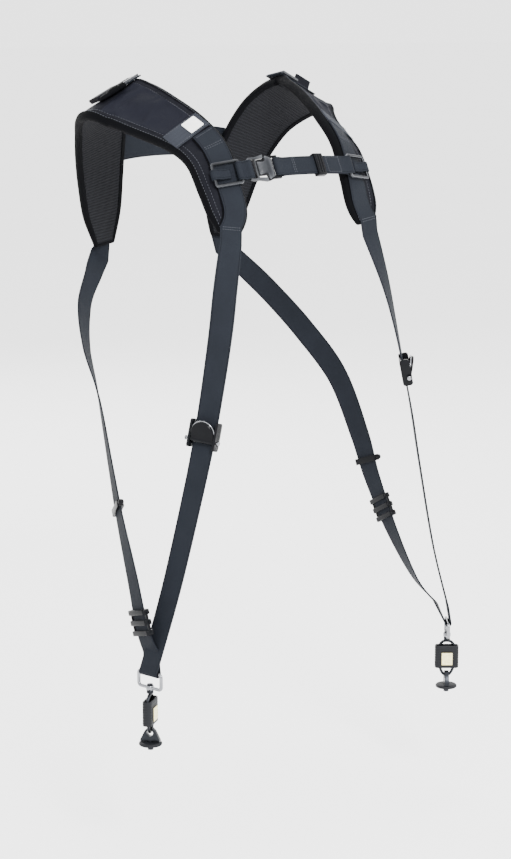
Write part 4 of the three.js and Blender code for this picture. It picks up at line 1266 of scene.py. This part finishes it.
def build_pad_shadow_cord(sign, tag):
    """A thin black cord between the front panel and the webbing sewn beside it: a painted shadow, a
    dark thing that stands in for the shadow line at the webbing's edge.
    """
    centres = []
    for i in range(61):
        u = 0.2 + (BAND_STATION - BAND_HALF - 0.25) * i / 60
        place, _ = sewn(u, sign, 0.2)
        centres.append(place.centre + place.across * (WEBBING_WIDTH / 2 + 0.9))
    cord = tube(f"pad_shadow_cord_{tag}", centres, 0.62, 10)
    dress(cord, "binding")


def place_at_length(places, wanted):
    """The point, across and normal at a run length along a list of places."""
    run = 0
    for a, b in zip(places, places[1:]):
        gap = (b.centre - a.centre).length
        if run + gap >= wanted:
            t = (wanted - run) / max(gap, 1e-6)
            return a.centre.lerp(b.centre, t), a.across, a.normal
        run += gap
    return places[-1].centre, places[-1].across, places[-1].normal


def run_length(places):
    return sum((b.centre - a.centre).length for a, b in zip(places, places[1:]))


def build_webbing(side):
    tag = SIDES[side]["tag"]
    loop = hip_loop_places(side)
    web(f"loop_webbing_{tag}", f"hip_loop_{tag}", loop)
    rear = rear_strap_places(side)
    web(f"rear_webbing_{tag}", f"rear_strap_{tag}", rear)

    top = WEBBING_THICKNESS / 2

    def on(places):
        def find(wanted):
            centre, across, normal = place_at_length(places, wanted)
            return centre + normal * top, across, normal
        return find

    sewn_length = run_length(loop[:LOOP_SEWN_STEPS + 1])
    marks = (3, 20, 22.5, sewn_length - 4, sewn_length - 1.5)
    cross_stitches(f"stitches_loop_{tag}", on(loop), marks, WEBBING_WIDTH - 4)
    total = run_length(rear)
    marks = (total - 3, total - 24, total - 44)
    cross_stitches(f"stitches_rear_{tag}", on(rear), marks, WEBBING_WIDTH - 4)


# Cam locks and rear fittings

def build_lock(side):
    tag, sign = SIDES[side]["tag"], SIDES[side]["sign"]
    seat = seat_at_drop(front_line(side), LOCK_DROP[side], sign)
    dress_node(f"cam_base_{tag}", "plastic", 0.4, 3)
    dress_node(f"cam_lever_{tag}", "plastic", 0.45, 3)

    inner = WEBBING_WIDTH / 2 + CHEEK_GAP
    hinge_y = -(WEBBING_THICKNESS / 2 + LAYER_GAP + KNUCKLE_RADIUS)
    hinge_z = -LOCK_HEIGHT * 0.2
    hinge = seat @ Matrix.Translation((0, hinge_y, hinge_z))
    end = 1.2
    half = inner + CHEEK_THICKNESS + 2.2 + PIN_CLEARANCE + end
    head = PIN_RADIUS + 1
    profile = [
        (0.3, -half - 0.25), (head - 0.5, -half - 0.1), (head, -half + 0.35), (head, -half + end),
        (PIN_RADIUS, -half + end), (PIN_RADIUS, half - end), (head, half - end),
        (head, half - 0.35), (head - 0.5, half + 0.1), (0.3, half + 0.25),
    ]
    pin = turned(f"cam_pin_fine_{tag}", profile, 28)
    place_in(pin, hinge @ Matrix.Rotation(math.pi / 2, 4, "Y"))
    dress(pin, "chrome", nodes=[f"cam_pin_{tag}"])

    lever_half = inner - 0.4
    lean = hinge @ Matrix.Rotation(math.radians(LEVER_LEAN), 4, "X")
    rise = LEVER_HEIGHT - lever_half
    back = LEVER_THICKNESS / 2 - 0.6
    reach = lever_half + 0.1
    arc = [Vector((reach, back, 2.5)), Vector((reach, back, rise * 0.6))]
    for k in range(25):
        a = math.pi * k / 24
        arc.append(Vector((reach * math.cos(a), back, rise + reach * math.sin(a))))
    arc += [Vector((-reach, back, rise * 0.6)), Vector((-reach, back, 2.5))]
    wire = tube(f"lever_wire_{tag}", arc, 0.75, 12)
    place_in(wire, lean)
    dress(wire, "chrome", frame["nodes"][f"cam_lever_{tag}"]["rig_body"])


def sleeve(name, width, depth, wall, low, high, corner):
    """A flat ring round a strap: up the outside and down the inside, with soft corners."""
    rings = []
    for z, inset in (
        (low, corner), (low + corner * 0.4, corner * 0.2), (low + corner, 0),
        (high - corner, 0), (high - corner * 0.4, corner * 0.2), (high, corner),
    ):
        out = 2 * (wall - inset)
        rings.append(level(rounded(width + out, depth + out, wall - inset * 0.5), z))
    rings += [level(rounded(width, depth, 0.5), z) for z in (high - 0.1, low + 0.1)]
    return swept(name, rings, looped=True, sharp=45)


def build_adjuster(side):
    """Three rings on thin rails, so that the webbing shows between them."""
    tag, sign = SIDES[side]["tag"], SIDES[side]["sign"]
    wide = WEBBING_WIDTH + 2 * ADJUSTER_SIDE_GAP
    deep = WEBBING_THICKNESS + 2 * ADJUSTER_GAP
    reach = (ADJUSTER_HEIGHT - ADJUSTER_BAR) / 2
    parts = []
    for number, middle in enumerate((-reach, 0, reach)):
        low, high = middle - ADJUSTER_BAR / 2, middle + ADJUSTER_BAR / 2
        parts.append(sleeve(f"adjuster_ring_{number}", wide, deep, ADJUSTER_WALL, low, high, 0.9))
    for number, x in enumerate((-1, 1)):
        outline = rounded(ADJUSTER_WALL, RAIL_DEPTH, 0.6, 4)
        rings = [
            [Vector((x * (wide + ADJUSTER_WALL) / 2 + a, b, z)) for a, b in outline]
            for z in (-reach, reach)
        ]
        parts.append(swept(f"adjuster_rail_{number}", rings))
    knob = turned("adjuster_knob", KNOB_PROFILE, 16)
    knob_across = sign * -(wide / 2 + ADJUSTER_WALL + KNOB_OUT)
    place_in(knob, Matrix.Translation((knob_across, 0, -reach)))
    body = joined(f"adjuster_fine_{tag}", [*parts, knob])
    place_in(body, seat_at_drop(rear_line(side), SIDES[side]["adjuster"], sign))
    dress(body, "plastic", nodes=[f"adjuster_{tag}"])


def build_rear_fittings(side):
    """Each bumper is turned about the strap, so that its ball end is at the front edge."""
    tag, sign = SIDES[side]["tag"], SIDES[side]["sign"]
    drop = SIDES[side]["adjuster"] - BUMPER_RISE[side]
    seat = seat_at_drop(rear_line(side), drop, sign)
    bumper = refined(f"rear_bumper_{tag}", 0.5, 3)
    place_in(bumper, seat @ Matrix.Rotation(math.pi, 4, "Z") @ seat.inverted())
    dress(bumper, "plastic", nodes=[f"rear_bumper_{tag}"])
    build_adjuster(side)


# Rings, hooks and camera fasteners

RING_HALF = WEBBING_WIDTH / 2 + RING_SIDE_GAP + RING_WIRE
RING_DROP = RING_HEIGHT - 2 * RING_WIRE


def ring_outline(half_width, height, corner, steps):
    points = []
    for x, z, start in (
        (half_width - corner, -corner, 90), (half_width - corner, -height + corner, 0),
        (-half_width + corner, -height + corner, -90), (-half_width + corner, -corner, -180),
    ):
        for k in range(steps + 1):
            a = math.radians(start - 90 * k / steps)
            points.append(Vector((x + corner * math.cos(a), 0, z + corner * math.sin(a))))
    return points


def joined(name, parts):
    """Several meshes as one piece."""
    main = parts[0]
    work = bmesh.new()
    for part in parts:
        work.from_mesh(part.data)
    work.to_mesh(main.data)
    work.free()
    for part in parts[1:]:
        bpy.data.objects.remove(part)
    main.name = name
    smooth(main.data, 45)
    return main


def build_ring(side):
    tag = SIDES[side]["tag"]
    across, normal = ring_directions(side)
    inward = Vector((0, 0, 1)).cross(across)
    hanger = axes_matrix(across, inward, Vector((0, 0, 1)), ring_centre(side))
    points = ring_outline(RING_HALF, RING_DROP, 3.2, 8)
    dense = []
    for i, point in enumerate(points):
        after = points[(i + 1) % len(points)]
        pieces = max(1, round((after - point).length / 2.5))
        dense += [point.lerp(after, k / pieces) for k in range(pieces)]
    wire = tube("ring_part", dense, RING_WIRE, 20, looped=True)
    bore = SWIVEL_RADIUS + SWIVEL_CLEARANCE
    tall = RING_WIRE + 0.4
    low, high = -RING_DROP - tall, -RING_DROP + tall
    profile = [
        (bore, low), (SWIVEL_BOSS - 0.5, low), (SWIVEL_BOSS, low + 0.5),
        (SWIVEL_BOSS, high - 0.5), (SWIVEL_BOSS - 0.5, high), (bore, high),
    ]
    boss = turned("boss_part", profile, 32, looped=True)
    ring = joined(f"ring_fine_{tag}", [wire, boss])
    place_in(ring, hanger)
    dress(ring, "chrome", nodes=[f"ring_{tag}"])


def hook_path(top, count):
    points = []
    for i in range(count):
        a = 2 * math.pi * i / count
        sine = math.sin(a)
        side = math.copysign(abs(sine) ** HOOK_FLATNESS, sine) if abs(sine) > 1e-9 else 0
        out = side * (1 + HOOK_TAPER * math.cos(a)) * HOOK_HALF
        points.append(Vector((out, 0, top - HOOK_LENGTH * (1 - math.cos(a)) / 2)))
    return points


def build_hook(side):
    tag = SIDES[side]["tag"]
    swivel = Matrix.Translation(ring_centre(side) + Vector((0, 0, -RING_DROP)))
    swivel = swivel @ Matrix.Rotation(math.radians(SIDES[side]["hook_turn"]), 4, "Z")
    boss = RING_WIRE + 0.4
    head = boss + SWIVEL_CLEARANCE + 1.6
    collar = -boss - SWIVEL_CLEARANCE
    end = collar - COLLAR_HEIGHT
    profile = [
        (0.2, head + 0.2), (SWIVEL_RADIUS + 0.6, head), (SWIVEL_RADIUS + 1.2, head - 0.5),
        (SWIVEL_RADIUS + 1.2, boss + SWIVEL_CLEARANCE), (SWIVEL_RADIUS, boss + SWIVEL_CLEARANCE),
        (SWIVEL_RADIUS, collar), (SWIVEL_BOSS - 0.9, collar), (SWIVEL_BOSS - 0.6, collar - 0.3),
        (SWIVEL_BOSS - 0.6, end + 1), (SWIVEL_RADIUS + 0.4, end), (0.2, end),
    ]
    stem = turned("stem_part", profile, 28)
    top = end - HOOK_WIRE + 1
    wire = tube("wire_part", hook_path(top, 96), HOOK_WIRE, 16, looped=True)
    hook = joined(f"hook_fine_{tag}", [stem, wire])
    place_in(hook, swivel)
    dress(hook, "dark_metal", nodes=[f"hook_{tag}"])
    cover_top = top - COVER_DROP
    build_cover(tag, swivel, cover_top)
    for face in ("front", "rear"):
        dress_node(f"label_{face}_{tag}", "label", 0.25, 3)
    build_fastener(tag, swivel, top - HOOK_LENGTH + HOOK_WIRE + EYE_CLEARANCE - LOOP_HOLE)


def build_cover(tag, swivel, top):
    """The ribbed rubber sleeve: rings from the bottom up outside, then back down inside."""
    ribs = 9
    steps = ribs * 6
    rings = []
    for i in range(steps + 1):
        share = i / steps
        z = top - COVER_HEIGHT + COVER_HEIGHT * share
        rim = min(share, 1 - share) * COVER_HEIGHT
        close = 1 - min(1.0, rim / 1.2)
        groove = 0.32 * (0.5 - 0.5 * math.cos(2 * math.pi * ribs * share)) * (1 - close)
        shrink = groove + 0.7 * close * close
        outline = rounded(COVER_WIDTH - 2 * shrink, COVER_DEPTH - 2 * shrink, 4 - shrink, 7)
        rings.append(level(outline, z))
    inner = rounded(COVER_WIDTH - 2 * COVER_WALL, COVER_DEPTH - 2 * COVER_WALL, 2, 7)
    for z in (top - 0.4, top - COVER_HEIGHT / 2, top - COVER_HEIGHT + 0.4):
        rings.append(level(inner, z))
    cover = swept(f"cover_rubber_{tag}", rings, looped=True, sharp=50)
    place_in(cover, swivel)
    dress(cover, "rubber", nodes=[f"hook_cover_{tag}"])


def build_fastener(tag, swivel, eye):
    foot = eye - LOOP_HOLE - 5.6
    dress_node(f"fastener_loop_{tag}", "dark_metal", 0.9, 4)
    top = foot - LAYER_GAP
    bottom = foot - DISC_THICKNESS
    bore = STUD_RADIUS + 0.3
    knurls = 36
    profile = [
        (bore, bottom), (DISC_RADIUS - 0.6, bottom), (DISC_RADIUS, bottom + 0.6),
        (DISC_RADIUS, top - 1.4), (DISC_RADIUS - 0.7, top - 0.6), (DISC_RADIUS - 2.2, top - 0.1),
        (DISC_RADIUS - 3, top), (bore, top),
    ]
    rings = turned_rings(profile, knurls * 4)
    for ring in rings[2:4]:
        for k, point in enumerate(ring):
            cut = 1 - 0.03 * (0.5 - 0.5 * math.cos(2 * math.pi * k / 4))
            point.x *= cut
            point.y *= cut
    disc = swept(f"disc_rubber_{tag}", rings, looped=True, sharp=45)
    place_in(disc, swivel)
    dress(disc, "rubber", nodes=[f"fastener_disc_{tag}"])


# Sternum strap

BAR_ROUND = math.hypot(FRAME_BAR, FRAME_THICKNESS) / 2
BELT_TURN = BAR_ROUND + BAR_GAP + STERNUM_THICKNESS / 2
BUCKLE_ROUND = math.hypot(BUCKLE_BAR, FRAME_THICKNESS) / 2 + 0.4
BUCKLE_TURN = BUCKLE_ROUND + BAR_GAP + STERNUM_THICKNESS / 2
FOLD_TURN = STERNUM_THICKNESS / 2 + FOLD_GAP / 2


class Seat:
    def __init__(self, point, along, across, normal):
        self.point, self.along, self.across, self.normal = point, along, across, normal


def sternum_seat(sign):
    u = station_at_drop(PAD_STATIONS, FRAME_DROP, 0, pad_row("crest"))
    place, at = sewn(u, sign, WEBBING_THICKNESS / 2)
    lift = WEBBING_THICKNESS / 2 + LAYER_GAP + STERNUM_THICKNESS / 2 + BELT_TURN
    along = Vector((0, at.along.y, at.along.z)).normalized()
    normal = (at.normal - along * at.normal.dot(along)).normalized()
    across = along.cross(normal) * sign
    return Seat(place.centre + at.normal * lift, along, across, normal)


def path_frames(centre_at, up):
    step = 0.01

    def find(t):
        along = (centre_at(min(t + step, 1)) - centre_at(max(t - step, 0))).normalized()
        return centre_at(t), along, up.cross(along).normalized(), up
    return find


def belt_places(frame_at, length, ends):
    """Places round a belt of webbing on two bars, its two layers drawn together between them."""
    pinch = min(PINCH_LENGTH / length, 0.5)

    def spread(t):
        s = min(min(t, 1 - t) / pinch, 1)
        turn = ends[0] if t < 0.5 else ends[1]
        return FOLD_TURN + (turn - FOLD_TURN) * (1 - s * s * (3 - 2 * s))

    def layer(t, side):
        centre, _, inward, up = frame_at(t)
        normal = inward * side
        return Place(centre + normal * spread(t), up, normal)

    def round_end(t, side, turn):
        places = []
        for k in range(1, 12):
            centre, along, inward, up = frame_at(t)
            a = math.pi * k / 12
            normal = inward * math.cos(a) * side + along * math.sin(a) * side
            places.append(Place(centre + normal * turn, up, normal))
        return places

    count = max(16, round(length / 2))
    stops = [i / count for i in range(count + 1)]
    places = [layer(t, 1) for t in stops] + round_end(1, 1, ends[1])
    places += [layer(t, -1) for t in reversed(stops)] + round_end(0, -1, ends[0])
    return places


def frame_bar_centre(sign):
    place = sternum_seat(sign)
    return place.point - place.across * (FRAME_WIDTH - FRAME_BAR) / 2


STERNUM_ENDS = (frame_bar_centre(-1), frame_bar_centre(1))
STERNUM_UP = sternum_seat(1).along
STERNUM_LENGTH = (STERNUM_ENDS[1] - STERNUM_ENDS[0]).length


def sternum_frame(t):
    forward = Vector((1, 0, 0)).cross(STERNUM_UP).normalized()

    def arch(s):
        return STERNUM_ENDS[0].lerp(STERNUM_ENDS[1], s) + forward * STERNUM_ARCH * 4 * s * (1 - s)
    return path_frames(arch, STERNUM_UP)(t)


def sternum_matrix(t):
    centre, along, inward, up = sternum_frame(t)
    return axes_matrix(along, inward, up, centre)


def belt(name, node, places, width=STERNUM_WIDTH):
    """A closed loop of the thin sternum webbing."""
    web(name, node, places, width, STERNUM_THICKNESS, looped=True)


def build_keeper(sign, tag):
    place = sternum_seat(sign)
    bar = (FRAME_WIDTH - FRAME_BAR) / 2
    sink = BELT_TURN - STERNUM_THICKNESS - FOLD_GAP / 2

    def centre_at(t):
        return (place.point + place.across * (bar - t * KEEPER_LENGTH)
                - place.normal * sink * min(t * 1.6, 1) ** 2)
    places = belt_places(path_frames(centre_at, place.along), KEEPER_LENGTH, (BELT_TURN, FOLD_TURN))
    belt(f"keeper_webbing_{tag}", f"frame_keeper_{tag}", places, KEEPER_WIDTH)
    dress_node(f"sternum_frame_{tag}", "frame", 0.9, 4)


def build_sternum():
    build_keeper(-1, "r")
    build_keeper(1, "l")
    male = BUCKLE_START / STERNUM_LENGTH
    female = (BUCKLE_START + BUCKLE_LENGTH) / STERNUM_LENGTH

    def stretch(start, end):
        return lambda t: sternum_frame(start + (end - start) * t)
    short = belt_places(stretch(0, male), BUCKLE_START, (BELT_TURN, BUCKLE_TURN))
    belt("sternum_webbing_short", "sternum_loop", short)
    rest = (1 - female) * STERNUM_LENGTH
    long = belt_places(stretch(female, 1), rest, (BUCKLE_TURN, BELT_TURN))
    belt("sternum_webbing_long", "sternum_strap", long)

    def on_strap(share):
        centre, _, inward, up = sternum_frame(share)
        normal = -inward
        return centre + normal * (FOLD_TURN + STERNUM_THICKNESS / 2), up, normal
    box_ends = (0.76, 0.885)
    cross_stitches("stitches_sternum", on_strap, (0.44, 0.455, *box_ends), STERNUM_WIDTH - 3)
    for number, side in enumerate((-1, 1)):
        line = []
        for k in range(13):
            point, up, normal = on_strap(box_ends[0] + (box_ends[1] - box_ends[0]) * k / 12)
            line.append((point + up * side * (STERNUM_WIDTH / 2 - 1.8), normal))
        sew(f"stitches_box_{number}", line, STRAP_STITCH)
    dress_node("sternum_slide", "plastic", 0.6, 3)
    build_buckle(male, female)
    build_slide_ribs()


def build_buckle(male, female):
    dress_node("buckle_pronged", "frame", 0.9, 4)
    dress_node("buckle_socket", "plastic", 0.6, 4)
    matrix = sternum_matrix((male + female) / 2)
    half = (female - male) * STERNUM_LENGTH / 2
    start = -half + 9.2
    # distance along the body, half height, crown height
    outline = (
        (0.2, 6.4, 0.4), (0.9, 7.3, 1.5), (3.5, 6.9, 2.3), (6.5, 6.7, 2.6), (8.6, 7.2, 2.6),
        (9.5, 9.5, 2.5), (10.2, 12.6, 2.3), (11.8, 12.9, 2.2), (13.2, 12.1, 2.2),
        (14.8, 11.2, 2.1), (16.2, 10.6, 1.7), (16.9, 10.2, 0.5),
    )
    rings = []
    front = -FRAME_THICKNESS / 2 + 0.2
    for along, high, crown in outline:
        x = start + along
        ring = []
        for k in range(21):
            z = math.sin(math.pi * (k / 20 - 0.5))
            dome = max(0.0, 1 - abs(z) ** 5) ** 0.5
            ring.append(Vector((x, front - 0.25 - crown * dome, z * high)))
        ring += [Vector((x, front + 0.3, high * 0.98)), Vector((x, front + 0.3, -high * 0.98))]
        rings.append(ring)
    crown = swept("buckle_crown", rings, sharp=50)
    place_in(crown, matrix)
    dress(crown, "buckle")


def build_slide_ribs():
    """Three raised grips on the front of the sternum slide."""
    matrix = sternum_matrix(SLIDE_PLACE)
    for number, x in enumerate((-3.2, 0, 3.2)):
        rings = []
        for lift, inset in ((0, 0), (0.5, 0.1), (0.8, 0.5)):
            outline = rounded(1.5 - 2 * inset, STERNUM_WIDTH + 1.5 - 2 * inset, 0.6 - inset, 4)
            y = -SLIDE_THICKNESS / 2 + 0.15 - lift
            rings.append([Vector((x + a, y, b)) for a, b in outline])
        rib = swept(f"slide_rib_{number}", rings, sharp=50)
        place_in(rib, matrix)
        dress(rib, "plastic")


def build_back_strap():
    lift = LAYER_GAP + WEBBING_THICKNESS / 2 + 0.4

    def on_pad(sign, shares):
        at = Station(PAD_STATIONS, BACK_STATION, sign)
        high = at.thick + lift
        return [Place(at.offset(w * at.width / 2, high), -at.along, at.normal) for w in shares]
    right = on_pad(-1, [0.7 - 1.7 * i / 14 for i in range(15)])
    left = on_pad(1, [-1.0 + 1.7 * i / 14 for i in range(15)])
    a, b = right[-1], left[0]
    bridge = []
    for i in range(1, 24):
        t = i / 24
        arch = Vector((0, 2 * min(1, 8 * t * (1 - t)), 4 * t * (1 - t) * 5))
        across = a.across.lerp(b.across, t).normalized()
        normal = a.normal.lerp(b.normal, t).normalized()
        bridge.append(Place(a.centre.lerp(b.centre, t) + arch, across, normal))
    web("back_webbing", "back_strap", right + bridge + left, BACK_STRAP_WIDTH)


# Camera, lights and floor

def make_camera():
    data = bpy.data.cameras.new("camera")
    data.sensor_width = SENSOR
    data.lens = FOCAL_PX * SENSOR / FRAME_HEIGHT_PX
    camera = add_object("camera", data)
    a, e = math.radians(AZIMUTH), math.radians(ELEVATION)
    back = Vector((math.sin(a) * math.cos(e), -math.cos(a) * math.cos(e), math.sin(e)))
    camera.location = (Vector(AIM) + back * DISTANCE) * MM
    camera.rotation_euler = (-back).to_track_quat("-Z", "Y").to_euler()
    scene.camera = camera


WORLD_STRENGTH = 2.8
LIGHT_AIM = (0, -0.08, -0.3)
LIGHTS = (
    ("key", (-0.7, -2.4, 1.3), 0.8, 130),
    ("fill", (2.2, -1.6, 0.4), 1.4, 30),
    ("top", (0.2, 0.3, 2.4), 1.2, 34),
    ("rear", (0.8, 2.4, 1.0), 1.4, 50),
)
FLOOR_HALF = 40
FLOOR_HEIGHT = -0.78


def add_light(name, place, size, power):
    """A disc light. Place and size are in metres, power in watts."""
    data = bpy.data.lights.new(name, "AREA")
    data.shape = "DISK"
    data.size = size
    data.energy = power
    light = add_object(name, data)
    light.location = place
    light.rotation_euler = (Vector(LIGHT_AIM) - Vector(place)).to_track_quat("-Z", "Y").to_euler()


def make_stage():
    world = bpy.data.worlds.new("studio")
    scene.world = world
    world.use_nodes = True
    background = world.node_tree.nodes["Background"]
    background.inputs["Color"].default_value = (1, 1, 1, 1)
    background.inputs["Strength"].default_value = WORLD_STRENGTH
    for light in LIGHTS:
        add_light(*light)
    mesh = bpy.data.meshes.new("floor")
    square = ((-1, -1), (1, -1), (1, 1), (-1, 1))
    corners = [Vector((x * FLOOR_HALF, y * FLOOR_HALF, FLOOR_HEIGHT)) for x, y in square]
    mesh.from_pydata(corners, [], [(0, 1, 2, 3)])
    floor = add_object("floor", mesh)
    look = Look("floor_pale", 0.9)
    look.tone(look.noise(2), (0.2, (0.96, 0.96, 0.962)), (0.8, (0.98, 0.98, 0.98)))
    mesh.materials.append(look.material)


make_camera()
make_stage()
for side, facts in SIDES.items():
    for build in (
        build_pad, build_binding, build_pad_stitches, build_pad_shadow_cord, build_band, build_crest,
    ):
        build(facts["sign"], facts["tag"])
    for build in (build_webbing, build_lock, build_rear_fittings, build_ring, build_hook):
        build(side)
build_sternum()
build_back_strap()

bpy.context.view_layer.update()
